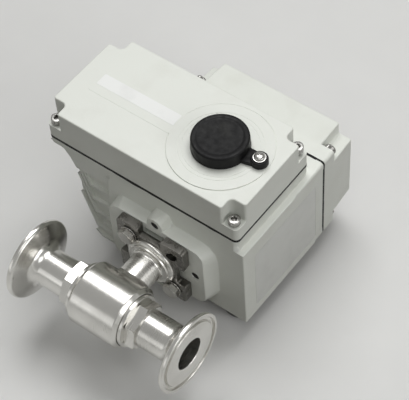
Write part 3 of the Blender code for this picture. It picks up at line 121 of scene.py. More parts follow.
class Sheet:
    """Node tree of one material, laid out round its Principled shader."""

    def __init__(self, name: str, colour: Colour, roughness: float, metallic: float = 0.0) -> None:
        """Start a material.

        Args:
            name: Name of the material.
            colour: Base colour, linear.
            roughness: Roughness where no pattern drives it.
            metallic: 1 for bare metal.
        """
        self.material = bpy.data.materials.new(name)
        self.material.use_nodes = True
        self.material.diffuse_color = (*colour, 1.0)
        self.nodes = self.material.node_tree.nodes
        self.shader = self.nodes["Principled BSDF"]
        self.place = self.nodes.new("ShaderNodeTexCoord").outputs["Object"]
        self.set("Base Color", (*colour, 1.0))
        self.set("Roughness", roughness)
        self.set("Metallic", metallic)

    def set(self, socket: str, value: Any) -> None:
        """Give a shader socket one value all over."""
        self.shader.inputs[socket].default_value = value

    def link(self, source: bpy.types.NodeSocket, target: bpy.types.NodeSocket) -> None:
        """Join two sockets."""
        self.material.node_tree.links.new(source, target)

    def add(self, kind: str, inputs: dict[str, Any] | None = None, **settings: Any) -> bpy.types.Node:
        """Add a node.

        Args:
            kind: Blender's node type.
            inputs: Socket values, or sockets to link from.
            settings: Properties of the node.

        Returns:
            The new node.
        """
        node = self.nodes.new(kind)
        for key, value in settings.items():
            setattr(node, key, value)
        for key, value in (inputs or {}).items():
            if isinstance(value, bpy.types.NodeSocket):
                self.link(value, node.inputs[key])
            else:
                node.inputs[key].default_value = value
        return node

    def stretched(self, scale: Colour) -> bpy.types.NodeSocket:
        """Object coordinates stretched along the axes."""
        return self.add("ShaderNodeMapping", {"Vector": self.place, "Scale": scale}).outputs["Vector"]

    def noise(self, scale: float, detail: float = 3.0, stretch: Colour = (1.0, 1.0, 1.0)) -> bpy.types.NodeSocket:
        """Noise pattern.

        Args:
            scale: Features to the metre.
            detail: Octaves of finer noise.
            stretch: Scale along each axis.

        Returns:
            The noise value.
        """
        vector = self.place if stretch == (1.0, 1.0, 1.0) else self.stretched(stretch)
        inputs = {"Vector": vector, "Scale": scale, "Detail": detail}
        return self.add("ShaderNodeTexNoise", inputs).outputs["Fac"]

    def cells(self, scale: float) -> bpy.types.NodeSocket:
        """Distance to the nearest of many scattered points, scale to the metre."""
        return self.add("ShaderNodeTexVoronoi", {"Vector": self.place, "Scale": scale}).outputs["Distance"]

    def radius(self, axis: Axis) -> bpy.types.NodeSocket:
        """Distance from an axis through the origin.

        Args:
            axis: The axis.

        Returns:
            The distance in metres.
        """
        keep = Vector((1.0, 1.0, 1.0)) - axis.vector()
        flat = self.add("ShaderNodeVectorMath", {0: self.place}, operation="MULTIPLY")
        flat.inputs[1].default_value = keep
        return self.add("ShaderNodeVectorMath", {0: flat.outputs["Vector"]}, operation="LENGTH").outputs["Value"]

    def span(self, value: bpy.types.NodeSocket, low: float, high: float,
             across: Point = (0.3, 0.7)) -> bpy.types.NodeSocket:
        """Stretch the middle of a pattern to a range of values.

        Args:
            value: The pattern.
            low: Result at the start of the range.
            high: Result at its end.
            across: Part of the pattern that is stretched.

        Returns:
            The stretched value.
        """
        inputs = {"Value": value, "From Min": across[0], "From Max": across[1], "To Min": low, "To Max": high}
        return self.add("ShaderNodeMapRange", inputs).outputs["Result"]

    def blend(self, factor: bpy.types.NodeSocket, first: Any, second: Any) -> bpy.types.NodeSocket:
        """Blend two colours by a pattern.

        Args:
            factor: 0 gives the first, 1 the second.
            first: Colour or socket.
            second: Colour or socket.

        Returns:
            The blended colour.
        """
        node = self.add("ShaderNodeMix", {0: factor}, data_type="RGBA")
        for index, value in ((6, first), (7, second)):
            if isinstance(value, bpy.types.NodeSocket):
                self.link(value, node.inputs[index])
            else:
                node.inputs[index].default_value = (*value, 1.0)
        return node.outputs[2]

    def tint(self, colour: bpy.types.NodeSocket) -> None:
        """Drive the base colour."""
        self.link(colour, self.shader.inputs["Base Color"])

    def gloss(self, roughness: bpy.types.NodeSocket) -> None:
        """Drive the roughness."""
        self.link(roughness, self.shader.inputs["Roughness"])

    def relief(self, *layers: tuple[bpy.types.NodeSocket, float, float]) -> None:
        """Stack bumps.

        Args:
            layers: For each bump its pattern, strength and depth in metres.
        """
        normal = None
        for height, strength, depth in layers:
            inputs = {"Height": height, "Strength": strength, "Distance": depth}
            if normal is not None:
                inputs["Normal"] = normal
            normal = self.add("ShaderNodeBump", inputs).outputs["Normal"]
        self.link(normal, self.shader.inputs["Normal"])


@dataclass(frozen=True)
class Finish:
    """Base of every finish: its name, its slot and its material, made once."""

    name: str
    slot: Slot
    made: ClassVar[dict[str, bpy.types.Material]] = {}

    def sheet(self) -> Sheet:
        """Lay out the finish's nodes."""
        raise NotImplementedError

    def material(self) -> bpy.types.Material:
        """Material of this finish.

        Returns:
            The one material that all its pieces share.
        """
        if self.name not in Finish.made:
            Finish.made[self.name] = self.sheet().material
        return Finish.made[self.name]


@dataclass(frozen=True)
class Paint(Finish):
    """Off-white satin paint on a casting, with an orange-peel skin and a little dust."""

    colour: Colour = (0.80, 0.82, 0.765)
    dust: Colour = (0.72, 0.73, 0.67)
    peel: float = 620.0
    cast: float = 90.0

    def sheet(self) -> Sheet:
        """Lay out the finish's nodes.

        Returns:
            The sheet with its shader wired up.
        """
        sheet = Sheet(self.name, self.colour, 0.4)
        dusty = sheet.span(sheet.noise(55.0, 5.0), 0.0, 0.55, (0.5, 0.78))
        sheet.tint(sheet.blend(dusty, self.colour, self.dust))
        sheet.gloss(sheet.span(sheet.noise(160.0, 4.0), 0.33, 0.48))
        sheet.relief((sheet.noise(self.cast, 2.0), 0.10, 0.0006), (sheet.noise(self.peel, 2.0), 0.16, 0.00025))
        return sheet


@dataclass(frozen=True)
class Steel(Finish):
    """Bare steel with the fine marks of the tool or belt that finished it."""

    colour: Colour = (0.68, 0.67, 0.64)
    shade: Colour = (0.50, 0.49, 0.46)
    roughness: Point = (0.08, 0.17)
    marks: Colour = (1.0, 0.03, 0.03)
    mark_scale: float = 2600.0
    mark_strength: float = 0.06
    bore: Point = (0.0, 0.0)

    def sheet(self) -> Sheet:
        """Lay out the finish's nodes.

        Returns:
            The sheet with its shader wired up, and duller inside the radius of a bore.
        """
        sheet = Sheet(self.name, self.colour, self.roughness[0], 1.0)
        smudge = sheet.noise(42.0, 4.0)
        lines = sheet.noise(self.mark_scale, 2.0, self.marks)
        sheet.tint(sheet.blend(sheet.span(smudge, 0.0, 1.0, (0.42, 0.72)), self.colour, self.shade))
        wear = sheet.add("ShaderNodeMath", {0: smudge, 1: lines}, operation="MULTIPLY").outputs["Value"]
        gloss = sheet.span(wear, self.roughness[0], self.roughness[1], (0.12, 0.42))
        if self.bore[0] > 0.0:
            edge = self.bore[0] * MM
            inside = sheet.span(sheet.radius(Axis.X), self.bore[1], 0.0, (edge + 0.0002, edge + 0.0006))
            gloss = sheet.add("ShaderNodeMath", {0: gloss, 1: inside}, operation="ADD").outputs["Value"]
        sheet.gloss(gloss)
        sheet.relief((sheet.noise(70.0, 2.0), 0.04, 0.0004), (lines, self.mark_strength, 0.00006))
        return sheet


@dataclass(frozen=True)
class CastSteel(Finish):
    """Cast and blasted steel: dark, matt and lightly pitted."""

    colour: Colour = (0.22, 0.213, 0.197)
    pit: Colour = (0.14, 0.135, 0.122)

    def sheet(self) -> Sheet:
        """Lay out the finish's nodes.

        Returns:
            The sheet with its shader wired up.
        """
        sheet = Sheet(self.name, self.colour, 0.4, 1.0)
        pits = sheet.span(sheet.noise(900.0, 3.0), 0.0, 0.7, (0.54, 0.8))
        sheet.tint(sheet.blend(pits, self.colour, self.pit))
        sheet.gloss(sheet.span(sheet.noise(240.0, 4.0), 0.22, 0.38))
        sheet.relief((sheet.noise(260.0, 3.0), 0.07, 0.0003), (sheet.noise(1500.0, 2.0), 0.10, 0.0001))
        return sheet


@dataclass(frozen=True)
class Rubber(Finish):
    """Moulded black rubber with pale dust in its grain."""

    colour: Colour = (0.004, 0.004, 0.0045)
    dust: Colour = (0.028, 0.028, 0.026)
    dusty: Point = (0.55, 0.9)

    def sheet(self) -> Sheet:
        """Lay out the finish's nodes.

        Returns:
            The sheet with its shader wired up.
        """
        sheet = Sheet(self.name, self.colour, 0.5)
        sheet.set("Specular IOR Level", 0.2)
        film = sheet.span(sheet.noise(95.0, 5.0), 0.0, 1.0, self.dusty)
        sheet.tint(sheet.blend(film, self.colour, self.dust))
        sheet.gloss(sheet.span(sheet.noise(300.0, 3.0), 0.38, 0.62))
        sheet.relief((sheet.noise(1300.0, 2.0), 0.2, 0.0001),)
        return sheet


@dataclass(frozen=True)
class Plastic(Finish):
    """Moulded plastic with a fine spark-eroded grain."""

    colour: Colour = (0.02, 0.02, 0.021)
    shade: Colour = (0.032, 0.032, 0.033)
    roughness: Point = (0.3, 0.45)

    def sheet(self) -> Sheet:
        """Lay out the finish's nodes.

        Returns:
            The sheet with its shader wired up.
        """
        sheet = Sheet(self.name, self.colour, self.roughness[0])
        sheet.tint(sheet.blend(sheet.span(sheet.noise(120.0, 4.0), 0.0, 1.0), self.colour, self.shade))
        sheet.gloss(sheet.span(sheet.noise(420.0, 3.0), self.roughness[0], self.roughness[1]))
        sheet.relief((sheet.cells(2400.0), 0.12, 0.00008),)
        return sheet


@dataclass(frozen=True)
class Label(Finish):
    """Bare film label with a faint weave and worn gloss."""

    colour: Colour = (0.88, 0.89, 0.87)
    shade: Colour = (0.80, 0.81, 0.79)
    roughness: Point = (0.3, 0.42)
    metallic: float = 0.0

    def sheet(self) -> Sheet:
        """Lay out the finish's nodes.

        Returns:
            The sheet with its shader wired up.
        """
        sheet = Sheet(self.name, self.colour, self.roughness[0], self.metallic)
        sheet.tint(sheet.blend(sheet.span(sheet.noise(80.0, 4.0), 0.0, 1.0, (0.45, 0.8)), self.colour, self.shade))
        sheet.gloss(sheet.span(sheet.noise(200.0, 3.0), self.roughness[0], self.roughness[1]))
        sheet.relief((sheet.noise(150.0, 2.0), 0.05, 0.0003), (sheet.noise(2500.0, 1.0), 0.08, 0.00005))
        return sheet


@dataclass(frozen=True)
class Board(Finish):
    """Circuit board: green mask over paler copper tracks."""

    colour: Colour = (0.012, 0.10, 0.035)
    track: Colour = (0.03, 0.19, 0.07)

    def sheet(self) -> Sheet:
        """Lay out the finish's nodes.

        Returns:
            The sheet with its shader wired up.
        """
        sheet = Sheet(self.name, self.colour, 0.35)
        tracks = sheet.add("ShaderNodeTexWave", {"Vector": sheet.place, "Scale": 260.0, "Distortion": 1.5},
                           bands_direction="X").outputs["Fac"]
        mask = sheet.span(tracks, 0.0, 1.0, (0.72, 0.78))
        sheet.tint(sheet.blend(mask, self.colour, self.track))
        sheet.relief((mask, 0.3, 0.00005),)
        return sheet


@dataclass(frozen=True)
class Glass(Finish):
    """Clear window with a slightly uneven, handled surface."""

    colour: Colour = (0.93, 0.95, 0.94)

    def sheet(self) -> Sheet:
        """Lay out the finish's nodes.

        Returns:
            The sheet with its shader wired up.
        """
        sheet = Sheet(self.name, self.colour, 0.05)
        sheet.set("Transmission Weight", 1.0)
        sheet.set("IOR", 1.49)
        sheet.gloss(sheet.span(sheet.noise(60.0, 4.0), 0.02, 0.14))
        sheet.relief((sheet.noise(40.0, 1.0), 0.03, 0.0005),)
        return sheet


PAINT = Paint("paint", Slot.PAINT)
TURNED_STEEL = Steel("turned_steel", Slot.POLISHED_STEEL, (0.74, 0.73, 0.70), (0.62, 0.61, 0.58), (0.17, 0.28),
                     bore=(10.0, 0.05))
NECK_STEEL = Steel("neck_steel", Slot.POLISHED_STEEL, (0.70, 0.69, 0.66), (0.58, 0.57, 0.54), (0.20, 0.32),
                   (0.03, 1.0, 0.03))
BALL_STEEL = Steel("ball_steel", Slot.POLISHED_STEEL, roughness=(0.04, 0.09), mark_strength=0.04)
SCREW_STEEL = Steel("screw_steel", Slot.SCREW_STEEL, (0.46, 0.455, 0.44), (0.32, 0.315, 0.30), (0.16, 0.32),
                    (1.0, 1.0, 1.0), 1200.0, 0.12)
BOLT_STEEL = Steel("bolt_steel", Slot.SCREW_STEEL, (0.56, 0.55, 0.52), (0.40, 0.39, 0.37), (0.16, 0.30),
                   (1.0, 1.0, 1.0), 900.0, 0.08)
MACHINE_STEEL = Steel("machine_steel", Slot.MACHINE_STEEL, (0.50, 0.50, 0.50), (0.38, 0.38, 0.38), (0.2, 0.38),
                      (0.06, 0.06, 1.0), 1800.0, 0.12)
BRONZE = Steel("bronze", Slot.BRONZE, (0.62, 0.40, 0.17), (0.42, 0.26, 0.10), (0.2, 0.4),
               (0.2, 1.0, 0.2), 1500.0, 0.12)
CAST_STEEL = CastSteel("cast_steel", Slot.POLISHED_STEEL)
# Near-black lining for the mounting holes' threads: the dark colour is painted shade inside the holes, not the metal's
# own colour.
PAINTED_SHADE_THREAD = CastSteel("thread", Slot.PAINT, (0.05, 0.049, 0.046), (0.02, 0.02, 0.02))
CAP_RUBBER = Rubber("cap_rubber", Slot.BLACK_RUBBER)
GASKET_RUBBER = Rubber("gasket_rubber", Slot.BLACK_RUBBER, (0.008, 0.008, 0.008), (0.02, 0.02, 0.02))
BLACK_PLASTIC = Plastic("black_plastic", Slot.BLACK_PLASTIC)
NYLON = Plastic("nylon", Slot.NYLON, (0.70, 0.69, 0.63), (0.60, 0.59, 0.53), (0.35, 0.5))
PTFE = Plastic("ptfe", Slot.PTFE, (0.84, 0.84, 0.82), (0.76, 0.76, 0.74), (0.4, 0.55))
YELLOW_PLASTIC = Plastic("yellow_plastic", Slot.YELLOW_PLASTIC, (0.78, 0.52, 0.02), (0.70, 0.45, 0.02))
CIRCUIT_BOARD = Board("circuit_board_mask", Slot.BOARD)
CLEAR_WINDOW = Glass("clear_window", Slot.CLEAR_WINDOW)
STICKER = Label("bare_sticker", Slot.PAINT)
SILVER_LABEL = Label("silver_label", Slot.PAINT, (0.72, 0.73, 0.70), (0.66, 0.67, 0.64), (0.28, 0.4), 0.15)


def rim(bm: BMesh, axis: Axis, height: float) -> list[BMEdge]:
    """Edges that lie flat at a height along an axis."""
    place = axis.vector()
    return [edge for edge in bm.edges if all(abs(v.co.dot(place) - height * MM) < 1e-6 for v in edge.verts)]


def ease(bm: BMesh, edges: Sequence[BMEdge], width: float, segments: int = 3) -> None:
    """Round edges with the bevel operator.

    Args:
        bm: Mesh that holds the edges.
        edges: Edges to round.
        width: Width of the rounding, in millimetres. None is made where it is 0.
        segments: Faces across it.
    """
    if width > 0.0 and edges:
        bmesh.ops.bevel(bm, geom=list(edges), offset=width * MM, offset_type="OFFSET", segments=segments,
                        profile=0.5, affect="EDGES", clamp_overlap=True, material=-1)


def push(bm: BMesh, axis: Axis, length: float) -> None:
    """Extrude the mesh's one face and point all faces outwards.

    Args:
        bm: The mesh.
        axis: Direction of the extrusion.
        length: How far it goes, in millimetres.
    """
    raised = bmesh.ops.extrude_face_region(bm, geom=bm.faces[:])
    verts = [item for item in raised["geom"] if isinstance(item, bmesh.types.BMVert)]
    bmesh.ops.translate(bm, verts=verts, vec=axis.vector() * length * MM)
    bmesh.ops.recalc_face_normals(bm, faces=bm.faces)


def outline(corners: Sequence[Corner], axis: Axis, height: float) -> BMesh:
    """Flat face across an axis with its corners rounded by the bevel operator.

    Args:
        corners: For each corner its place and how far from it the rounding starts.
        axis: Axis that the face lies across.
        height: Where it lies.

    Returns:
        A mesh with the one face.
    """
    bm = bmesh.new()
    points = [(bm.verts.new(axis.place(a, b, height)), ease_by) for a, b, ease_by in corners]
    bm.faces.new([vert for vert, _ in points])
    for amount in sorted({ease_by for _, ease_by in points if ease_by > 0.0}):
        picked = [vert for vert, ease_by in points if ease_by == amount]
        bmesh.ops.bevel(bm, geom=picked, offset=amount * MM, offset_type="ABSOLUTE",
                        segments=5 if amount < 3.0 else 8, profile=0.5, affect="VERTICES",
                        clamp_overlap=False, material=-1)
    return bm


def slab(corners: Sequence[Corner], axis: Axis, low: float, high: float, low_edge: float = 0.0,
         high_edge: float = 0.0, draft: float = 0.0) -> BMesh:
    """Plate of an outline, with eased rims and drafted sides.

    Args:
        corners: Corners as for outline().
        axis: Axis that it is extruded along.
        low: Where it starts.
        high: Where it ends.
        low_edge: Rounding of the rim at the low end.
        high_edge: Rounding of the rim at the high end.
        draft: How far the sides draw in at the high end.

    Returns:
        The closed mesh.
    """
    bm = outline(corners, axis, low)
    push(bm, axis, high - low)
    if draft:
        top = {vert for edge in rim(bm, axis, high) for vert in edge.verts}
        middle = sum((vert.co for vert in top), Vector()) / len(top)
        spans = [max(abs(vert.co[i] - middle[i]) for vert in top) for i in range(3)]
        scale = [1.0 if span < 1e-7 else 1.0 - draft * MM / span for span in spans]
        bmesh.ops.scale(bm, verts=list(top), vec=scale, space=Matrix.Translation(-middle))
    ease(bm, rim(bm, axis, high), high_edge, 4)
    ease(bm, rim(bm, axis, low), low_edge)
    return bm


def prism(radius: float, sides: int, axis: Axis, low: float, high: float, centre: Point = (0.0, 0.0),
          turn: float = 0.0, low_edge: float = 0.0, high_edge: float = 0.0) -> BMesh:
    """Regular prism, which is a cylinder where it has many sides.

    Args:
        radius: Distance of its corners from its axis.
        sides: Number of sides.
        axis: Axis that it is extruded along.
        low: Where it starts.
        high: Where it ends.
        centre: Its middle across the axis.
        turn: Turn about the axis, in degrees.
        low_edge: Rounding of the rim at the low end.
        high_edge: Rounding of the rim at the high end.

    Returns:
        The closed mesh.
    """
    bm = bmesh.new()
    bmesh.ops.create_circle(bm, cap_ends=True, segments=sides, radius=radius * MM,
                            matrix=axis.plane(centre, low, turn))
    push(bm, axis, high - low)
    ease(bm, rim(bm, axis, high), high_edge)
    ease(bm, rim(bm, axis, low), low_edge)
    return bm


def hexagon(flats: float, axis: Axis, low: float, high: float, centre: Point = (0.0, 0.0), turn: float = 0.0,
            low_edge: float = 0.0, high_edge: float = 0.0) -> BMesh:
    """Hexagonal prism by its size across flats; the rest is as for prism()."""
    return prism(flats / math.sqrt(3.0), 6, axis, low, high, centre, turn, low_edge, high_edge)


def capsule(start: float, end: float, radius: float, turn: float, axis: Axis, low: float, high: float) -> BMesh:
    """Bar with round ends that points away from an axis.

    Args:
        start: How far from the axis the middle of its near end lies.
        end: How far the middle of its far end lies.
        radius: Half its width.
        turn: Direction in which it points, in degrees.
        axis: Axis that it is extruded along.
        low: Where it starts.
        high: Where it ends.

    Returns:
        The closed mesh.
    """
    bm = slab(rectangle((start - radius, end + radius), (-radius, radius), 0.98 * radius), axis, low, high)
    spin = Matrix.Rotation(math.radians(turn), 3, axis.vector())
    bmesh.ops.rotate(bm, verts=bm.verts, cent=(0.0, 0.0, 0.0), matrix=spin)
    return bm


def lathe(profile: Sequence[Corner], axis: Axis, centre: Point = (0.0, 0.0), steps: int = 96) -> BMesh:
    """Turned shape: a closed profile spun about an axis.

    Args:
        profile: For each corner its height, its radius and how far from it the rounding starts.
        axis: Axis of the spin.
        centre: Where the axis passes.
        steps: Steps of the full turn.

    Returns:
        The closed mesh.
    """
    bm = outline(profile, Axis.Z, 0.0)
    bmesh.ops.delete(bm, geom=bm.faces[:], context="FACES_ONLY")
    for vert in bm.verts:
        height, radius = vert.co.x / MM, vert.co.y / MM
        vert.co = axis.place(centre[0] + radius, centre[1], height)
    line = axis.place(*centre, 0.0)
    on_axis = [edge for edge in bm.edges
               if all(((v.co - line) - axis.vector() * (v.co - line).dot(axis.vector())).length < 1e-8
                      for v in edge.verts)]
    bmesh.ops.delete(bm, geom=on_axis, context="EDGES")
    bmesh.ops.spin(bm, geom=bm.verts[:] + bm.edges[:], cent=line, axis=axis.vector(), angle=math.tau,
                   steps=steps, use_merge=True, use_duplicate=False)
    bmesh.ops.remove_doubles(bm, verts=bm.verts, dist=1e-6)
    bmesh.ops.recalc_face_normals(bm, faces=bm.faces)
    return bm


def tidy(bm: BMesh) -> None:
    """Merge doubled points and flat neighbouring faces.

    Args:
        bm: The mesh.
    """
    bmesh.ops.remove_doubles(bm, verts=bm.verts, dist=2e-6)
    bmesh.ops.dissolve_limit(bm, angle_limit=math.radians(0.6), verts=bm.verts, edges=bm.edges,
                             use_dissolve_boundaries=False, delimit=set())


def gathered(meshes: Iterable[BMesh]) -> BMesh:
    """Gather meshes that stand clear of each other in one.

    Args:
        meshes: The meshes, which are used up.

    Returns:
        The one mesh.
    """
    whole = bmesh.new()
    for bm in meshes:
        mesh = bpy.data.meshes.new("gathered")
        bm.to_mesh(mesh)
        bm.free()
        whole.from_mesh(mesh)
        bpy.data.meshes.remove(mesh)
    return whole


def rectangle(span_a: Point, span_b: Point, soft: float = 0.0) -> list[Corner]:
    """Corners of a rectangle between two spans, all rounded alike."""
    (a0, a1), (b0, b1) = span_a, span_b
    return [(a0, b0, soft), (a1, b0, soft), (a1, b1, soft), (a0, b1, soft)]


def notched(span_a: Point, span_b: Point, notch: Point, soft: float) -> list[Corner]:
    """Corners of a rectangle that has a notch at each corner.

    Args:
        span_a: Span along the first direction.
        span_b: Span along the second.
        notch: Size of each notch along both directions.
        soft: Rounding of the outer corners; the inner ones get more.

    Returns:
        The twelve corners.
    """
    (a0, a1), (b0, b1) = span_a, span_b
    na, nb = notch
    inner = 1.9 * soft
    return [(a0 + na, b0, soft), (a1 - na, b0, soft), (a1 - na, b0 + nb, inner), (a1, b0 + nb, soft),
            (a1, b1 - nb, soft), (a1 - na, b1 - nb, inner), (a1 - na, b1, soft), (a0 + na, b1, soft),
            (a0 + na, b1 - nb, inner), (a0, b1 - nb, soft), (a0, b0 + nb, soft), (a0 + na, b0 + nb, inner)]


def grown(span: Point, amount: float) -> Point:
    """Span widened at both ends."""
    return (span[0] - amount, span[1] + amount)


class Workpiece:
    """One piece on the bench: joined, cut and eased, then finished."""

    def __init__(self, name: str, bm: BMesh) -> None:
        """Put a mesh on the bench.

        Args:
            name: Name of the piece.
            bm: Its mesh, which is used up.
        """
        self.name = name
        self.item = self.stock(name, bm)
        self.helpers: list[bpy.types.Object] = []

    @staticmethod
    def stock(name: str, bm: BMesh) -> bpy.types.Object:
        """Make an object of a mesh.

        Args:
            name: Name of the object and its mesh.
            bm: The mesh, which is used up.

        Returns:
            The object, in the scene.
        """
        mesh = bpy.data.meshes.new(name)
        bm.to_mesh(mesh)
        bm.free()
        item = bpy.data.objects.new(name, mesh)
        bpy.context.scene.collection.objects.link(item)
        return item

    def tool(self, operation: str, bm: BMesh) -> "Workpiece":
        """Work a mesh into the piece with an exact Boolean.

        Args:
            operation: UNION, DIFFERENCE or INTERSECT.
            bm: The tool's mesh.

        Returns:
            The piece.
        """
        helper = self.stock(f"{self.name}_tool", bm)
        self.helpers.append(helper)
        step = self.item.modifiers.new(operation.lower(), "BOOLEAN")
        step.operation, step.solver, step.object = operation, "EXACT", helper
        return self

    def join(self, *meshes: BMesh) -> "Workpiece":
        """Add meshes to the piece.

        Args:
            meshes: What is added.

        Returns:
            The piece.
        """
        for bm in meshes:
            self.tool("UNION", bm)
        return self

    def cut(self, *meshes: BMesh) -> "Workpiece":
        """Take meshes out of the piece.

        Args:
            meshes: What is taken out.

        Returns:
            The piece.
        """
        for bm in meshes:
            self.tool("DIFFERENCE", bm)
        return self

    def keep(self, bm: BMesh) -> "Workpiece":
        """Keep only what lies inside a mesh."""
        return self.tool("INTERSECT", bm)

    def soften(self, width: float, segments: int = 2, angle: float = 32.0) -> "Workpiece":
        """Bevel all edges sharper than an angle.

        Args:
            width: Width in millimetres.
            segments: Faces across it.
            angle: The angle in degrees.

        Returns:
            The piece.
        """
        step = self.item.modifiers.new("soften", "BEVEL")
        step.width, step.segments, step.profile = width * MM, segments, 0.5
        step.limit_method, step.angle_limit = "ANGLE", math.radians(angle)
        step.use_clamp_overlap, step.miter_outer = True, "MITER_ARC"
        return self

    def soften_long(self, width: float, least: float, past: Point, angle: float = 34.0) -> "Workpiece":
        """Bevel only the long edges sharper than an angle, on a piece that also holds slivers.

        Args:
            width: Width in millimetres.
            least: Length of the shortest edge that is bevelled, in millimetres.
            past: X and Z in millimetres past which the middle of an edge lies.
            angle: The angle in degrees.

        Returns:
            The piece.
        """
        self.bake()
        bm = bmesh.new()
        bm.from_mesh(self.item.data)
        share = bm.edges.layers.float.new("bevel_weight_edge")
        for edge in bm.edges:
            sharp = len(edge.link_faces) == 2 and edge.calc_face_angle(0.0) > math.radians(angle)
            middle = (edge.verts[0].co + edge.verts[1].co) / 2.0
            clear = middle.x > past[0] * MM and middle.z > past[1] * MM and edge.calc_length() > least * MM
            if sharp and clear and min(face.calc_area() for face in edge.link_faces) > SLIVER:
                edge[share] = 1.0
        bm.to_mesh(self.item.data)
        bm.free()
        step = self.soften(width, 3).item.modifiers[-1]
        step.limit_method, step.use_clamp_overlap = "WEIGHT", False
        return self

    def bake(self) -> None:
        """Evaluate the modifiers into the piece's own mesh."""
        graph = bpy.context.evaluated_depsgraph_get()
        mesh = bpy.data.meshes.new_from_object(self.item.evaluated_get(graph), depsgraph=graph)
        old = self.item.data
        self.item.modifiers.clear()
        self.item.data = mesh
        bpy.data.meshes.remove(old)
        for helper in self.helpers:
            bpy.data.objects.remove(helper, do_unlink=True)
        self.helpers.clear()

    def raw(self) -> BMesh:
        """Take the piece off the bench.

        Returns:
            Its baked mesh.
        """
        self.bake()
        bm = bmesh.new()
        bm.from_mesh(self.item.data)
        bpy.data.objects.remove(self.item, do_unlink=True)
        return bm

    def finish(self, look: Finish, body: Body, *nodes: str, sharp: float = SHARP) -> bpy.types.Object:
        """Shade, paint and mount the piece.

        Args:
            look: Its finish.
            body: The rigid body that it rides on.
            nodes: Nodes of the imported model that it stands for.
            sharp: Edges sharper than this stay sharp.

        Returns:
            The finished object.
        """
        if self.item.modifiers:
            self.bake()
        mesh = self.item.data
        mesh.shade_smooth()
        mesh.set_sharp_from_angle(angle=sharp)
        weigh = self.item.modifiers.new("weigh", "WEIGHTED_NORMAL")
        weigh.keep_sharp, weigh.weight = True, 90
        self.bake()
        self.item.data.materials.clear()
        self.item.data.materials.append(look.material())
        self.item.data.name = self.name
        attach(self.item, body.value)
        if nodes:
            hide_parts(*nodes)
        log.info("%s: %d faces, rides on %s", self.name, len(self.item.data.polygons), body.value)
        return self.item


@dataclass
class EndCap:
    """Threaded end of the valve: plug, hexagon, tube and clamp ferrule with its gasket groove."""

    node: str
    side: int
    turn: float
    bore_r: float = 10.0
    plug: float = 14.3
    plug_r: float = 15.4
    collar: float = 15.5
    collar_r: float = 16.5
    hexagon: Point = (19.7, 26.7)
    flats: float = 25.4
    tube_r: float = 11.5
    face: float = 56.0
    ferrule_r: float = 25.25
    ferrule_rim: float = 2.8
    groove_r: float = 21.8
    groove: Point = (1.55, 2.2)

    def profile(self) -> list[Corner]:
        """Corners of the turned part, from the plug round to the ferrule's face.

        Returns:
            The closed profile, mirrored on the left cap.
        """
        back = self.face - self.ferrule_rim
        root = back - (self.ferrule_r - self.tube_r) * math.tan(math.radians(20.0))
        floor = self.face - self.groove[1]
        outer, inner = self.groove_r + self.groove[0], self.groove_r - self.groove[0]
        corners = [
            (self.plug, self.bore_r, 0.2), (self.plug, self.plug_r, 0.2), (self.collar, self.plug_r, 0.0),
            (self.collar, self.collar_r, 0.0), (self.hexagon[0], self.collar_r, 0.4),
            (self.hexagon[0], self.tube_r, 0.0), (root, self.tube_r, 4.2), (back, self.ferrule_r, 1.5),
            (self.face, self.ferrule_r, 0.45), (self.face, outer, 0.2), (floor, outer - 0.5, 0.7),
            (floor, inner + 0.5, 0.7), (self.face, inner, 0.2), (self.face, self.bore_r, 0.6),
        ]
        return [(self.side * height, radius, soft) for height, radius, soft in corners]

    def wrench_flats(self) -> BMesh:
        """Hexagon with both its ends turned down at the corners.

        Returns:
            The closed mesh.
        """
        low, high = sorted(self.side * end for end in self.hexagon)
        corner_r = self.flats / math.sqrt(3.0)
        ends = [(low, 0.0, 0.0), (low, corner_r - 1.3, 0.2), (low + 0.75, corner_r + 0.05, 0.0),
                (high - 0.75, corner_r + 0.05, 0.0), (high, corner_r - 1.3, 0.2), (high, 0.0, 0.0)]
        block = Workpiece("flats", hexagon(self.flats, Axis.X, low, high, turn=self.turn))
        return block.keep(lathe(ends, Axis.X)).soften(0.25, 2, 25.0).raw()

    def build(self) -> None:
        """Turn the cap, add its hexagon and bore it through."""
        cap = Workpiece(f"{self.node}_turned", lathe(self.profile(), Axis.X, steps=128))
        low, high = sorted(self.side * end for end in (self.hexagon[0] - 1.0, self.hexagon[1] + 1.0))
        cap.join(self.wrench_flats()).cut(prism(self.bore_r, 128, Axis.X, low, high))
        cap.finish(TURNED_STEEL, Body.STILL, self.node)


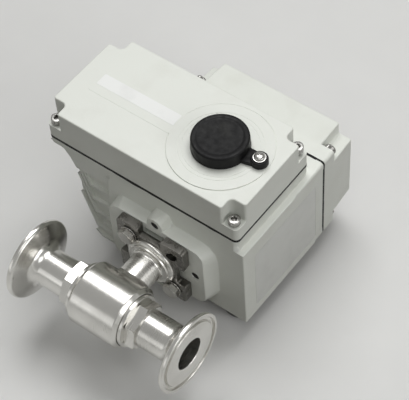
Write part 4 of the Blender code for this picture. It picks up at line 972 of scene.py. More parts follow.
@dataclass
class ValveBody:
    """Barrel with its weld, neck and square mounting pad."""

    barrel_r: float = 19.4
    half: float = 17.5
    chamfer: float = 2.1
    seal_seat_r: float = 16.8
    chamber_r: float = 15.7
    shoulder: float = 14.3
    neck_r: float = 10.1
    packing_r: float = 7.2
    packing_start: float = 24.0
    stem_r: float = 5.3
    collar_r: float = 6.9
    pad: Point = (37.3, 42.5)
    pad_half: float = 23.8
    pad_corner: float = 3.0
    slot_width: float = 15.5
    slot_depth: float = 5.8
    ring_r: float = 16.3
    hole_r: float = 2.8
    hole_run: Point = (14.3, 16.6)
    undercut: tuple[Point, float] = ((40.4, 43.5), 2.0)
    bead: float = 1.5

    def stem_way(self) -> BMesh:
        """Hollow that the stem, its washer and its packing stand in.

        Returns:
            The cutter.
        """
        return lathe([
            (10.0, 0.0, 0.0), (10.0, self.collar_r, 0.0), (18.3, self.collar_r, 0.0), (18.3, self.stem_r, 0.0),
            (self.packing_start, self.stem_r, 0.0), (self.packing_start, self.packing_r, 0.0),
            (self.pad[1] + 1.0, self.packing_r, 0.0), (self.pad[1] + 1.0, 0.0, 0.0),
        ], Axis.Y, steps=64)

    def barrel(self) -> None:
        """Barrel with bright chamfers, bored for the ball and the end caps."""
        end, small = self.half, self.barrel_r - self.chamfer
        skin = lathe([
            (-end, 0.0, 0.0), (-end, small, 0.25), (-end + self.chamfer, self.barrel_r, 0.5),
            (end - self.chamfer, self.barrel_r, 0.5), (end, small, 0.25), (end, 0.0, 0.0),
        ], Axis.X, steps=144)
        chamber = lathe([
            (-end - 1.0, 0.0, 0.0), (-end - 1.0, self.seal_seat_r, 0.0), (-self.shoulder, self.seal_seat_r, 0.0),
            (-self.shoulder, self.chamber_r, 0.0), (self.shoulder, self.chamber_r, 0.0),
            (self.shoulder, self.seal_seat_r, 0.0), (end + 1.0, self.seal_seat_r, 0.0), (end + 1.0, 0.0, 0.0),
        ], Axis.X, steps=96)
        Workpiece("barrel", skin).cut(chamber, self.stem_way()).finish(TURNED_STEEL, Body.STILL, "valve_body")

    def weld(self) -> None:
        """Fillet weld that follows the saddle between the neck and the barrel."""
        r = self.neck_r
        bm = lathe([(-1.4, r - 0.6, 0.0), (-1.4, r + self.bead, 0.5), (0.4, r + 0.8, 1.0), (1.8, r - 0.05, 0.3),
                    (1.8, r - 0.6, 0.0)], Axis.Y, steps=128)
        for vert in bm.verts:
            drop = math.sqrt((self.barrel_r * MM) ** 2 - vert.co.z ** 2)
            ripple = 0.00004 * math.sin(46.0 * math.atan2(vert.co.z, vert.co.x))
            vert.co.y += drop + ripple
        Workpiece("neck_weld", bm).finish(NECK_STEEL, Body.STILL, "valve_body")

    def neck(self) -> None:
        """Neck and the turned rings at the foot of the pad."""
        r, ring = self.neck_r, self.ring_r
        bm = lathe([
            (14.0, 0.0, 0.0), (14.0, r, 0.0), (33.9, r, 1.8), (34.2, ring - 3.2, 0.15), (33.8, ring - 3.0, 0.12),
            (33.8, ring - 2.5, 0.12), (34.8, ring - 2.3, 0.15), (34.8, ring - 1.7, 0.5), (36.0, ring - 0.1, 0.7),
            (self.pad[0] + 0.3, ring, 0.0), (self.pad[0] + 0.3, 0.0, 0.0),
        ], Axis.Y, steps=128)
        room = prism(self.barrel_r - 1.6, 96, Axis.X, -self.half, self.half)
        Workpiece("neck", bm).cut(room, self.stem_way()).finish(NECK_STEEL, Body.STILL, "valve_body")

    def pad_corners(self) -> list[Corner]:
        """Corners of the square pad with a slot in the middle of each side.

        Returns:
            The corners of all four sides.
        """
        half, slot, depth = self.pad_half, 0.5 * self.slot_width, self.pad_half - self.slot_depth
        quarter = [(half, -half, self.pad_corner), (half, -slot, 0.6), (depth, -slot, 1.4), (depth, slot, 1.4),
                   (half, slot, 0.6)]
        corners = []
        for _ in range(4):
            corners += quarter
            quarter = [(-b, a, soft) for a, b, soft in quarter]
        return corners

    def mounting_pad(self) -> None:
        """Cast pad with its four bolt holes."""
        low, high = self.pad
        pad = Workpiece("mounting_pad", slab(self.pad_corners(), Axis.Y, low, high))
        depth, slot = self.pad_half - self.slot_depth, 0.5 * self.slot_width
        (start, end), reach = self.undercut
        for quarter in range(4):
            turn = 45.0 + 90.0 * quarter
            pad.cut(capsule(*[math.sqrt(2.0) * at for at in self.hole_run], self.hole_r, turn, Axis.Y, low - 1.0,
                            high + 1.0))
            under = slab(rectangle((-slot - 0.8, slot + 0.8), (depth - reach, self.pad_half + 1.0), 0.5), Axis.Y,
                         start, end)
            bmesh.ops.rotate(under, verts=under.verts, cent=(0.0, 0.0, 0.0),
                             matrix=Matrix.Rotation(math.radians(90.0 * quarter), 3, "Y"))
            pad.cut(under)
        pad.cut(prism(self.packing_r, 48, Axis.Y, low - 1.0, high + 1.0)).soften(0.55, 3, 30.0)
        pad.finish(CAST_STEEL, Body.STILL, "valve_body")

    def build(self) -> None:
        """Build the body's pieces."""
        self.barrel()
        self.neck()
        self.weld()
        self.mounting_pad()


@dataclass
class PadBolts:
    """Two hexagon bolts with washers, on opposite corners of the pad."""

    pad: float = 37.3
    hole: float = 14.85
    flats: float = 9.2
    turn: float = 33.0
    head: float = 3.5
    washer: float = 0.7
    washer_r: float = 5.5
    shank_r: float = 2.3
    tip: float = 50.8
    gap: float = 0.3

    def build(self) -> None:
        """Build each bolt and its washer."""
        high = self.pad - self.gap
        seat = high - self.washer - self.gap
        low = seat - self.head
        corner_r = self.flats / math.sqrt(3.0)
        for number, centre in enumerate(((-self.hole, self.hole), (self.hole, -self.hole)), start=1):
            dome = lathe([(low, 0.0, 0.0), (low, corner_r - 0.9, 0.2), (low + 0.55, corner_r + 0.05, 0.0),
                          (seat, corner_r + 0.05, 0.0), (seat, 0.0, 0.0)], Axis.Y, centre)
            head = Workpiece("head", hexagon(self.flats, Axis.Y, low, seat, centre, self.turn)).keep(dome)
            shank = prism(self.shank_r, 32, Axis.Y, seat - 1.0, self.tip, centre, high_edge=0.4)
            bolt = Workpiece(f"pad_bolt_{number}_hex", head.raw()).join(shank).soften(0.18, 2)
            bolt.finish(BOLT_STEEL, Body.STILL, f"pad_bolt_{number}")
            ring = lathe([(high - self.washer, self.shank_r + 0.3, 0.0), (high - self.washer, self.washer_r, 0.15),
                          (high, self.washer_r, 0.15), (high, self.shank_r + 0.3, 0.0)], Axis.Y, centre)
            Workpiece(f"pad_washer_{number}_flat", ring).finish(BOLT_STEEL, Body.STILL, f"pad_washer_{number}")


@dataclass
class BallAndSeats:
    """Ball with its through bore, and the soft seats on both sides of it."""

    ball_r: float = 15.0
    bore_r: float = 10.0
    slot_half: float = 3.0
    slot_floor: float = 11.0
    seat_back: float = 14.0
    seat_r: float = 15.4
    lip_r: float = 13.4
    clearance: float = 0.3

    def ball(self) -> None:
        """Sphere, bored along the pipe and slotted for the stem."""
        bm = bmesh.new()
        bmesh.ops.create_uvsphere(bm, u_segments=72, v_segments=48, radius=self.ball_r * MM)
        reach = self.ball_r + 1.0
        slot = slab(rectangle((-self.slot_half, self.slot_half), (self.slot_floor, reach)), Axis.Z, -reach, reach)
        ball = Workpiece("ball_sphere", bm).cut(prism(self.bore_r, 96, Axis.X, -reach, reach), slot)
        ball.soften(0.3, 2, 40.0).finish(BALL_STEEL, Body.OUTPUT, "ball")

    def seat(self, node: str, side: int) -> None:
        """Ring that seals on the ball.

        Args:
            node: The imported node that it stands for.
            side: -1 for the left seat, 1 for the right one.
        """
        reach = self.ball_r + self.clearance
        inner = self.bore_r + self.clearance
        radii = (inner, 0.5 * (inner + self.lip_r), self.lip_r)
        face = [(math.sqrt(reach ** 2 - r ** 2), r, 0.0) for r in radii]
        corners = face + [(face[-1][0], self.seat_r, 0.2), (self.seat_back, self.seat_r, 0.2),
                          (self.seat_back, self.bore_r, 0.2)]
        ring = lathe([(side * height, radius, soft) for height, radius, soft in corners], Axis.X)
        Workpiece(f"{node}_ring", ring).finish(PTFE, Body.STILL, node)

    def build(self) -> None:
        """Build the ball and both seats."""
        self.ball()
        self.seat("seat_left", -1)
        self.seat("seat_right", 1)


@dataclass
class Housing:
    """Cast housing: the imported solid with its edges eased, and the bare label let into its side."""

    edge: float = 0.6
    least_edge: float = 6.0
    side: float = 56.3
    front: float = 50.8
    base: float = -32.5
    shoulder: float = 33.4
    flange_top: float = 35.4
    flange_y: Point = (121.2, 128.2)
    flange_x: Point = (-46.8, 56.3)
    flange_hole_r: float = 1.9
    flange_soft: float = 2.2
    flange_block: float = 5.0
    screw_inset: float = 5.0
    ramp_start: Point = (36.0, 98.0)
    corner: float = 3.4
    fins_end: float = -36.0
    mount_face: float = 42.8
    mount_hole_r: float = 2.8
    mount_circle_r: float = 27.0
    thread: Point = (0.4, 0.3)
    pocket_half: float = 8.3
    pocket_z: Point = (13.5, 20.4)
    pocket_depth: float = 5.0
    label_y: Point = (61.0, 121.0)
    label_z: Point = (-27.0, 22.5)
    sunk: float = 0.2

    def casting(self) -> BMesh:
        """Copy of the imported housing, merged into clean flat faces.

        Returns:
            The closed mesh.
        """
        bm = bmesh.new()
        bm.from_mesh(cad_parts["housing"].data)
        tidy(bm)
        return bm

    def front_corner(self) -> BMesh:
        """Block that makes the upright corner beside the mounting boss a sharp one."""
        spans = (self.side - self.corner, self.side), (self.front, self.front + self.corner)
        return slab(rectangle(*spans), Axis.Z, self.base, self.shoulder)

    def flange_corners(self) -> BMesh:
        """Blocks that fill the rear flange's round corners.

        Returns:
            The four blocks in one mesh.
        """
        low, high = self.flange_y
        (left, right), size = self.flange_x, self.flange_block
        blocks = []
        for span_x in ((left, left + size), (right - size, right)):
            for span_z in ((self.base, self.base + size), (self.flange_top - size, self.flange_top)):
                blocks.append(slab(rectangle(span_x, span_z), Axis.Y, low, high))
        return gathered(blocks)

    def ramp(self) -> BMesh:
        """Wedge that rises smoothly from the shoulder to the top of the rear flange.

        Returns:
            The closed mesh.
        """
        low, high = self.shoulder, self.flange_top
        (left, start), end = self.ramp_start, self.flange_y[0] + 0.5
        run = [(start, low - 1.0, 0.0), (start, low, 0.0), (end, high, 0.0), (end, low - 1.0, 0.0)]
        return slab(run, Axis.X, left, self.side)

    def flange_rounding(self) -> BMesh:
        """Tool that rounds the corners of the flange, and of the ramp where it meets the flange.

        Returns:
            The four cutters in one mesh.
        """
        soft, clear = self.flange_soft, 2.0
        tools = []
        for side, a in ((-1.0, self.flange_x[0]), (1.0, self.flange_x[1])):
            for rise, b in ((-1.0, self.base), (1.0, self.flange_top)):
                low = self.ramp_start[1] + 1.0 if side > 0.0 and rise > 0.0 else self.flange_y[0] - 0.5
                in_a, out_a = a - side * (soft + 0.1), a + side * clear
                in_b, out_b = b - rise * (soft + 0.1), b + rise * clear
                corners = [(a, b, soft), (a, in_b, 0.0), (out_a, in_b, 0.0), (out_a, out_b, 0.0),
                           (in_a, out_b, 0.0), (in_a, b, 0.0)]
                tools.append(slab(corners, Axis.Y, low, self.flange_y[1] + 1.0))
        return gathered(tools)

    def register(self) -> BMesh:
        """Pockets in the mounting face behind the slots of the valve's pad.

        Returns:
            The cutters in one mesh.
        """
        (low, high), half, depth = self.pocket_z, self.pocket_half, self.pocket_depth
        spans = ((low, high), (-high, -low))
        return gathered([slab(rectangle((-half, half), span, 1.0), Axis.Y, self.mount_face - 1.0,
                              self.mount_face + depth) for span in spans])

    def mount_places(self) -> list[Point]:
        """Centres of the holes of the wider bolt circle."""
        angles = [math.radians(90.0 * quarter) for quarter in range(4)]
        return [(self.mount_circle_r * math.cos(angle), self.mount_circle_r * math.sin(angle)) for angle in angles]

    def mount_holes(self) -> BMesh:
        """Holes of the wider bolt circle."""
        low, high = self.mount_face - 1.0, self.mount_face + 7.0
        return gathered([prism(self.mount_hole_r, 32, Axis.Y, low, high, centre) for centre in self.mount_places()])

    def flange_holes(self) -> BMesh:
        """Tapped holes of the rear cover's screws.

        Returns:
            The cutters in one mesh.
        """
        low, high = self.flange_y[0] - 4.0, self.flange_y[1] + 1.0
        places = [(a, b) for a in grown(self.flange_x, -self.screw_inset)
                  for b in grown((self.base, self.flange_top), -self.screw_inset)]
        return gathered([prism(self.flange_hole_r, 32, Axis.Y, low, high, centre) for centre in places])

    def threads(self) -> None:
        """Threaded walls of the mounting holes, coloured near-black as painted shade inside the holes."""
        low, high, r = self.mount_face + 0.7, self.mount_face + 6.9, self.mount_hole_r - 0.02
        step, depth = self.thread
        crests = [(low + step * count, r - (depth if count % 2 else 0.0), 0.0) for count in range(14)]
        profile = [(low, r + depth, 0.0), *crests, (high, crests[-1][1], 0.0), (high, 0.0, 0.0),
                   (high + step, 0.0, 0.0), (high + step, r + depth, 0.0)]
        for number, centre in enumerate(self.mount_places(), start=1):
            Workpiece(f"mount_thread_{number}", lathe(profile, Axis.Y, centre, 32)).finish(PAINTED_SHADE_THREAD, Body.STILL)

    def build(self) -> None:
        """Ease the casting and set the label in its recess."""
        shell = Workpiece("housing_casting", self.casting())
        shell.join(self.front_corner(), self.flange_corners(), self.ramp()).cut(self.flange_rounding())
        shell.cut(self.mount_holes(), self.flange_holes(), self.register())
        shell.soften_long(self.edge, self.least_edge, (self.fins_end, self.base + 1.0)).bake()
        self.threads()
        recess = slab(rectangle(self.label_y, self.label_z, 2.0), Axis.X, self.side - self.sunk, self.side + 1.0)
        shell.cut(recess).finish(PAINT, Body.STILL, "housing")
        plate = slab(rectangle(grown(self.label_y, -0.25), grown(self.label_z, -0.25), 1.8), Axis.X,
                     self.side - self.sunk, self.side - 0.04, high_edge=0.05)
        Workpiece("side_label", plate).finish(SILVER_LABEL, Body.STILL)


@dataclass
class GearCover:
    """Gear cover: skirt, notched upper shell, raised disc, openings, and the plate with its sticker."""

    x: Point = (-82.0, 52.7)
    y: Point = (50.8, 118.7)
    base: float = 44.4
    ledge: float = 53.4
    top: float = 67.7
    wall: float = 3.0
    notch: Point = (9.8, 8.8)
    edge: float = 0.8
    worm: Point = (17.5, 84.75)
    pivot: Point = (41.965, 87.321)
    disc_r: float = 30.4
    disc_rise: float = 0.4
    key_hole_r: float = 5.2
    pivot_hole_r: float = 1.5
    screw_hole_r: float = 1.9
    screw_inset: Point = (4.7, 4.3)
    screw_tip: float = 37.5
    screws_stand: tuple[float, ...] = (0.0, 0.0, 0.0, 1.9)
    gasket_low: float = 42.55
    rings: Point = (21.6, 23.9)
    plate: tuple[Point, Point] = ((-70.5, -11.0), (75.5, 92.0))
    plate_rise: float = 0.14
    sticker: tuple[Point, Point] = ((-68.3, -13.2), (81.4, 90.0))

    def screw_places(self) -> list[Point]:
        """Screw centres in the corner notches."""
        inset_x, inset_y = self.screw_inset
        return [(x, y) for x in grown(self.x, -inset_x) for y in grown(self.y, -inset_y)]

    def shell(self) -> None:
        """Cover with its disc, hollow, recess and holes."""
        top, disc_top = self.top, self.top + self.disc_rise
        skirt = slab(rectangle(self.x, self.y, 3.2), Axis.Z, self.base, self.ledge)
        upper = slab(notched(self.x, self.y, self.notch, 1.6), Axis.Z, self.ledge - 2.0, top, high_edge=self.edge)
        disc = lathe([(top - 1.0, 0.0, 0.0), (top - 1.0, self.disc_r, 0.0), (disc_top, self.disc_r, 0.2),
                      (disc_top, 0.0, 0.0)], Axis.Z, self.worm, 128)
        groove = lathe([(top - 0.25, self.disc_r, 0.0), (top - 0.25, self.disc_r + 0.35, 0.0),
                        (top + 1.0, self.disc_r + 0.35, 0.0), (top + 1.0, self.disc_r, 0.0)], Axis.Z, self.worm, 128)
        inside = slab(notched(grown(self.x, -self.wall), grown(self.y, -self.wall), self.notch, 1.2), Axis.Z,
                      self.base - 1.0, top - self.wall)
        cover = Workpiece("gear_cover_shell", skirt).join(upper).cut(groove).join(disc).cut(inside)
        cover.join(slab(rectangle(*self.plate, 2.0), Axis.Z, top - 1.0, top + self.plate_rise, high_edge=0.12))
        for radius in self.rings:
            cover.cut(lathe([(disc_top - 0.15, radius, 0.0), (disc_top - 0.15, radius + 0.3, 0.0),
                             (disc_top + 1.0, radius + 0.5, 0.0), (disc_top + 1.0, radius - 0.2, 0.0)],
                            Axis.Z, self.worm, 128))
        for radius, centre in ((self.key_hole_r, self.worm), (self.pivot_hole_r, self.pivot)):
            cover.cut(prism(radius, 48, Axis.Z, top - 5.0, disc_top + 1.0, centre))
        for centre in self.screw_places():
            cover.cut(prism(self.screw_hole_r, 32, Axis.Z, self.base - 1.0, self.ledge + 1.0, centre))
        cover.soften(0.35, 2, 34.0).finish(PAINT, Body.STILL, "gear_cover")

    def bare_sticker(self) -> None:
        """Blank white sticker on the raised plate."""
        seat = self.top + self.plate_rise
        film = slab(rectangle(*self.sticker, 0.9), Axis.Z, seat, seat + 0.12, high_edge=0.04)
        Workpiece("cover_sticker", film).finish(STICKER, Body.STILL)

    def build(self) -> None:
        """Build the cover and its sticker."""
        self.shell()
        self.bare_sticker()


@dataclass
class RearCover:
    """Electrical cover: flange, drafted notched box and the indicator's round window."""

    x: Point = (-46.8, 56.3)
    z: Point = (-32.5, 35.4)
    base: float = 129.6
    flange: float = 9.5
    end: float = 159.4
    corner: float = 2.2
    notch: Point = (9.0, 9.2)
    wall: float = 4.0
    draft: float = 1.3
    window_r: float = 13.0
    rim_r: float = 15.0
    dial_r: float = 11.6
    dial_drop: float = 10.9
    screw_hole_r: float = 1.9
    screw_inset: float = 5.0
    screw_tip: float = 118.2
    gasket: Point = (128.25, 129.55)

    def screw_places(self) -> list[Point]:
        """Screw centres in the corner notches."""
        return [(x, z) for x in grown(self.x, -self.screw_inset) for z in grown(self.z, -self.screw_inset)]

    def shell(self) -> None:
        """Cover with its hollow, window seat and screw holes."""
        ledge = self.base + self.flange
        flange = slab(rectangle(self.x, self.z, self.corner), Axis.Y, self.base, ledge)
        box = slab(notched(grown(self.x, -0.12), grown(self.z, -0.12), self.notch, 0.9), Axis.Y, ledge - 2.0,
                   self.end, high_edge=1.0, draft=self.draft)
        inside = slab(notched(grown(self.x, -self.wall), grown(self.z, -self.wall), self.notch, 1.4), Axis.Y,
                      self.base - 1.0, self.end - 3.0)
        seat = lathe([
            (self.end - 4.0, 0.0, 0.0), (self.end - 4.0, self.window_r, 0.0), (self.end - 1.4, self.window_r, 0.0),
            (self.end - 1.4, self.rim_r, 0.0), (self.end + 1.0, self.rim_r, 0.0), (self.end + 1.0, 0.0, 0.0),
        ], Axis.Y)
        cover = Workpiece("rear_cover_shell", flange).join(box).cut(inside, seat)
        for centre in self.screw_places():
            cover.cut(prism(self.screw_hole_r, 32, Axis.Y, self.base - 1.0, ledge + 1.0, centre))
        cover.soften(0.35, 2, 34.0).finish(PAINT, Body.STILL, "rear_cover")

    def window(self) -> None:
        """Domed clear window in its seat."""
        end, outer, inner = self.end, self.rim_r - 0.3, self.window_r - 0.3
        lens = lathe([
            (end - 3.4, 0.0, 0.0), (end - 3.4, inner, 0.3), (end - 1.1, inner, 0.0), (end - 1.1, outer, 0.0),
            (end, outer, 0.4), (end + 0.6, self.window_r - 1.0, 0.8), (end + 0.9, 0.0, 0.0),
        ], Axis.Y)
        Workpiece("indicator_lens", lens).finish(CLEAR_WINDOW, Body.STILL, "indicator_window")

    def dial(self) -> None:
        """Yellow indicator disc with its raised pointer, which turns with the shaft."""
        base, radius = self.end - self.dial_drop, self.dial_r
        disc = lathe([
            (base - 6.5, 4.3, 0.0), (base - 6.5, 6.5, 0.3), (base, 6.5, 0.3), (base, radius, 0.3),
            (base + 3.1, radius, 0.6), (base + 3.1, 0.0, 0.0), (base - 0.1, 0.0, 0.0), (base - 0.1, 4.3, 0.0),
        ], Axis.Y)
        pointer = [(-9.0, -1.6, 0.6), (5.4, -1.6, 0.3), (5.4, -3.4, 0.4), (9.0, 0.0, 0.4), (5.4, 3.4, 0.4),
                   (5.4, 1.6, 0.3), (-9.0, 1.6, 0.6)]
        Workpiece("indicator_dial", disc).finish(YELLOW_PLASTIC, Body.OUTPUT, "indicator_disc")
        arrow = slab(pointer, Axis.Y, base + 2.9, base + 3.9, high_edge=0.25)
        Workpiece("indicator_pointer", arrow).finish(BLACK_PLASTIC, Body.OUTPUT)

    def build(self) -> None:
        """Build the cover, its window and the dial behind it."""
        self.shell()
        self.window()
        self.dial()


@dataclass
class Gasket:
    """Flat rubber gasket between a cover and the housing, squeezed out a little along its rim."""

    node: str
    axis: Axis
    span_a: Point
    span_b: Point
    corner: float
    low: float
    high: float
    holes: list[Point]
    squeeze: tuple[float, float, float] = (0.0, 1.0, 0.0)
    inset: float = 0.12
    wall: float = 3.6
    notch: Point = (9.8, 9.0)
    hole_r: float = 1.9

    def build(self) -> None:
        """Cut the frame and let its outer edge wander."""
        outer = grown(self.span_a, -self.inset), grown(self.span_b, -self.inset)
        bm = outline(rectangle(*outer, self.corner), self.axis, self.low)
        bmesh.ops.subdivide_edges(bm, edges=[edge for edge in bm.edges if edge.calc_length() > 0.02], cuts=40)
        first = 0 if self.axis is not Axis.X else 1
        second = 2 if self.axis is Axis.Y else 1
        at, width, height = self.squeeze
        for vert in bm.verts:
            a, b = vert.co[first] / MM, vert.co[second] / MM
            wave = 0.12 * math.sin(0.21 * a + 0.13 * b) + 0.08 * math.sin(0.47 * a - 0.31 * b + 1.0)
            wave += height * math.exp(-((a - at) / width) ** 2)
            if abs(b - outer[1][0]) < 0.01 or abs(b - outer[1][1]) < 0.01:
                vert.co[second] += math.copysign(wave * MM, b - 0.5 * sum(outer[1]))
            elif abs(a - outer[0][0]) < 0.01 or abs(a - outer[0][1]) < 0.01:
                vert.co[first] += math.copysign(wave * MM, a - 0.5 * sum(outer[0]))
            vert.co[first] = min(max(vert.co[first], self.span_a[0] * MM), self.span_a[1] * MM)
        push(bm, self.axis, self.high - self.low)
        opening = notched(grown(self.span_a, -self.wall), grown(self.span_b, -self.wall), self.notch, 1.2)
        gasket = Workpiece(f"{self.node}_sheet", bm)
        gasket.cut(slab(opening, self.axis, self.low - 1.0, self.high + 1.0))
        for centre in self.holes:
            gasket.cut(prism(self.hole_r, 24, self.axis, self.low - 1.0, self.high + 1.0, centre))
        gasket.finish(GASKET_RUBBER, Body.STILL, self.node)


@dataclass
class SocketScrew:
    """Socket head cap screw with a knurled head."""

    node: str
    axis: Axis
    centre: Point
    seat: float
    tip: float
    turn: float
    shank_r: float = 1.6
    head_r: float = 3.5
    head: float = 4.0
    flats: float = 3.2
    ridges: int = 34
    root: float = 0.955
    gap: float = 0.3

    def knurl(self, low: float, high: float) -> BMesh:
        """Ring of fine ridges round the head.

        Args:
            low: Where it starts along the screw.
            high: Where it ends.

        Returns:
            The closed mesh.
        """
        bm = bmesh.new()
        made = bmesh.ops.create_circle(bm, cap_ends=True, segments=2 * self.ridges, radius=self.head_r * MM,
                                       matrix=self.axis.plane(self.centre, low, self.turn))
        middle = self.axis.place(*self.centre, low)
        for vert in made["verts"][::2]:
            vert.co = middle + (vert.co - middle) * self.root
        push(bm, self.axis, high - low)
        return bm

    def build(self) -> None:
        """Turn the screw, knurl its head and broach its socket."""
        low = self.seat + self.gap
        top = low + self.head
        blank = lathe([
            (self.tip, 0.0, 0.0), (self.tip, self.shank_r, 0.35), (low, self.shank_r, 0.0),
            (low, self.head_r - 0.2, 0.2), (top - 0.75, self.head_r - 0.2, 0.0), (top - 0.75, self.head_r, 0.0),
            (top, self.head_r, 0.5), (top, 0.0, 0.0),
        ], self.axis, self.centre, 64)
        screw = Workpiece(f"{self.node}_socket_head", blank).join(self.knurl(low + 0.25, top - 0.7))
        mouth = lathe([(top - 0.35, 0.0, 0.0), (top - 0.3, 1.6, 0.0), (top + 0.2, 1.95, 0.0),
                       (top + 0.2, 0.0, 0.0)], self.axis, self.centre, 48)
        socket = hexagon(self.flats, self.axis, top - 2.8, top + 1.0, self.centre, self.turn)
        point = lathe([(top - 3.8, 0.0, 0.0), (top - 2.7, 1.5, 0.0), (top - 2.7, 0.0, 0.0)], self.axis, self.centre, 32)
        screw.cut(socket, point, mouth).finish(SCREW_STEEL, Body.STILL, self.node, sharp=math.radians(28.0))


@dataclass
class OverrideCap:
    """Rubber cap over the hand-override shaft, with its tab, and the screw that the tab turns on."""

    centre: Point = (17.5, 84.75)
    pivot: Point = (41.965, 87.321)
    base: float = 68.4
    top: float = 76.6
    radius: float = 16.8
    tab: float = 2.6
    boss: float = 4.2
    strap_half: float = 4.0
    tab_r: float = 5.0
    tab_hole_r: float = 1.7
    screw_tip: float = 63.7
    cross: Point = (1.9, 0.38)

    def cap(self) -> None:
        """Cap with a raised rim round its shallow top, and its tab."""
        base, top, r = self.base, self.top, self.radius
        bm = lathe([
            (base, 0.0, 0.0), (base, r + 0.15, 0.5), (base + 1.2, r - 0.05, 0.4), (top, r - 0.35, 1.1),
            (top, r - 2.9, 0.8), (top - 0.45, r - 4.0, 0.6), (top - 0.5, 0.0, 0.0),
        ], Axis.Z, self.centre, 128)
        along = (Vector(self.pivot) - Vector(self.centre)).normalized()
        across = Vector((-along.y, along.x))
        start, end, half = Vector(self.centre) + along * (r - 3.0), Vector(self.pivot), self.strap_half
        corners = [start - across * (half + 1.6), end - across * half, end + across * half,
                   start + across * (half + 1.2)]
        strap = slab([(*corner, 0.0) for corner in corners], Axis.Z, base, base + self.tab)
        tip = prism(self.tab_r, 64, Axis.Z, base, base + self.boss, self.pivot, high_edge=0.5)
        piece = Workpiece("override_cap_rubber", bm).join(strap, tip)
        piece.cut(prism(self.tab_hole_r, 32, Axis.Z, base - 1.0, top, self.pivot)).soften(0.4, 3, 34.0)
        piece.finish(CAP_RUBBER, Body.CAP, "override_cap")

    def screw(self) -> None:
        """Pan head screw with a cross recess and its washer."""
        seat, tip = self.base + self.boss + 0.1, self.screw_tip
        reach, half = self.cross
        bm = lathe([
            (tip, 0.0, 0.0), (tip, 1.2, 0.2), (seat, 1.2, 0.0), (seat, 3.8, 0.15), (seat + 0.6, 3.8, 0.15),
            (seat + 0.6, 3.1, 0.0), (seat + 1.5, 3.1, 0.6), (seat + 2.35, 1.9, 0.8), (seat + 2.5, 0.0, 0.0),
        ], Axis.Z, self.pivot, 64)
        screw = Workpiece("cap_screw_pan_head", bm)
        for turn in (28.0, 118.0):
            arm = Vector((math.cos(math.radians(turn)), math.sin(math.radians(turn))))
            side = Vector((-arm.y, arm.x)) * half
            far, near = Vector(self.pivot) + arm * reach, Vector(self.pivot) - arm * reach
            corners = [far + side, near + side, near - side, far - side]
            screw.cut(slab([(*corner, 0.0) for corner in corners], Axis.Z, seat + 1.35, seat + 4.0))
        screw.finish(SCREW_STEEL, Body.STILL, "cap_screw")

    def build(self) -> None:
        """Build the cap and its screw."""
        self.cap()
        self.screw()


@dataclass
class CableGland:
    """Cable gland: hexagon body, dome nut and rubber insert."""

    number: int
    centre: Point
    base: float = -32.8
    low: float = -50.0
    inside: float = -23.0
    flats: float = 22.0
    thread_r: float = 8.0
    tube_r: float = 7.2
    bore_r: float = 5.0
    nut_flats: float = 20.6
    nut_bore_r: float = 7.5
    hole_r: float = 3.5

    def body(self) -> None:
        """Threaded body with its hexagon."""
        collar = self.base - 4.0
        corner_r = self.flats / math.sqrt(3.0)
        cone = lathe([(collar, 0.0, 0.0), (collar, corner_r - 1.0, 0.2), (collar + 0.7, corner_r + 0.1, 0.0),
                      (self.base, corner_r + 0.1, 0.0), (self.base, 0.0, 0.0)], Axis.Z, self.centre)
        block = Workpiece("collar", hexagon(self.flats, Axis.Z, collar, self.base, self.centre)).keep(cone)
        tube = lathe([
            (self.inside, self.bore_r, 0.3), (self.inside, self.thread_r, 0.4),
            (self.base - 1.0, self.thread_r, 0.0), (self.base - 1.0, self.tube_r, 0.0),
            (self.low + 6.5, self.tube_r, 0.0), (self.low + 6.5, self.bore_r, 0.0),
        ], Axis.Z, self.centre)
        piece = Workpiece(f"gland_body_{self.number}_collar", block.raw()).join(tube)
        piece.cut(prism(self.bore_r, 48, Axis.Z, collar - 1.0, self.base + 1.0, self.centre)).soften(0.25, 2)
        piece.finish(BLACK_PLASTIC, Body.STILL, f"gland_body_{self.number}")

    def nut(self) -> None:
        """Dome nut: a skirt with six wrench flats under a round nose."""
        top, low, bore, mouth = self.base - 4.3, self.low, self.nut_bore_r, self.hole_r + 1.6
        dome = lathe([
            (top, bore, 0.2), (top, 10.3, 0.3), (low + 4.6, 10.0, 1.6), (low + 1.2, 8.2, 1.4), (low, 6.4, 0.6),
            (low, mouth, 0.3), (low + 6.2, mouth, 0.0), (low + 6.2, bore, 0.0),
        ], Axis.Z, self.centre)
        cone = lathe([(top - 6.6, 0.0, 0.0), (top - 6.6, 9.9, 0.2), (top - 4.6, 11.6, 0.3), (top - 0.5, 11.9, 0.2),
                      (top, 11.2, 0.0), (top, 0.0, 0.0)], Axis.Z, self.centre)
        flats = Workpiece("flats", hexagon(self.nut_flats, Axis.Z, top - 6.6, top, self.centre)).keep(cone)
        nut = Workpiece(f"gland_nut_{self.number}_dome", dome).join(flats.raw())
        nut.cut(prism(bore, 64, Axis.Z, top - 7.0, top + 1.0, self.centre)).soften(0.3, 2)
        nut.finish(BLACK_PLASTIC, Body.STILL, f"gland_nut_{self.number}")

    def insert(self) -> None:
        """Rubber sealing ring in the mouth of the nut."""
        low, hole, outer = self.low + 0.4, self.hole_r, self.hole_r + 1.5
        ring = lathe([(low, hole, 0.4), (low, outer, 0.3), (low + 5.6, outer, 0.2), (low + 5.6, hole, 0.2)],
                     Axis.Z, self.centre)
        Workpiece(f"gland_insert_{self.number}", ring).finish(GASKET_RUBBER, Body.STILL)

    def build(self) -> None:
        """Build the gland."""
        self.body()
        self.nut()
        self.insert()


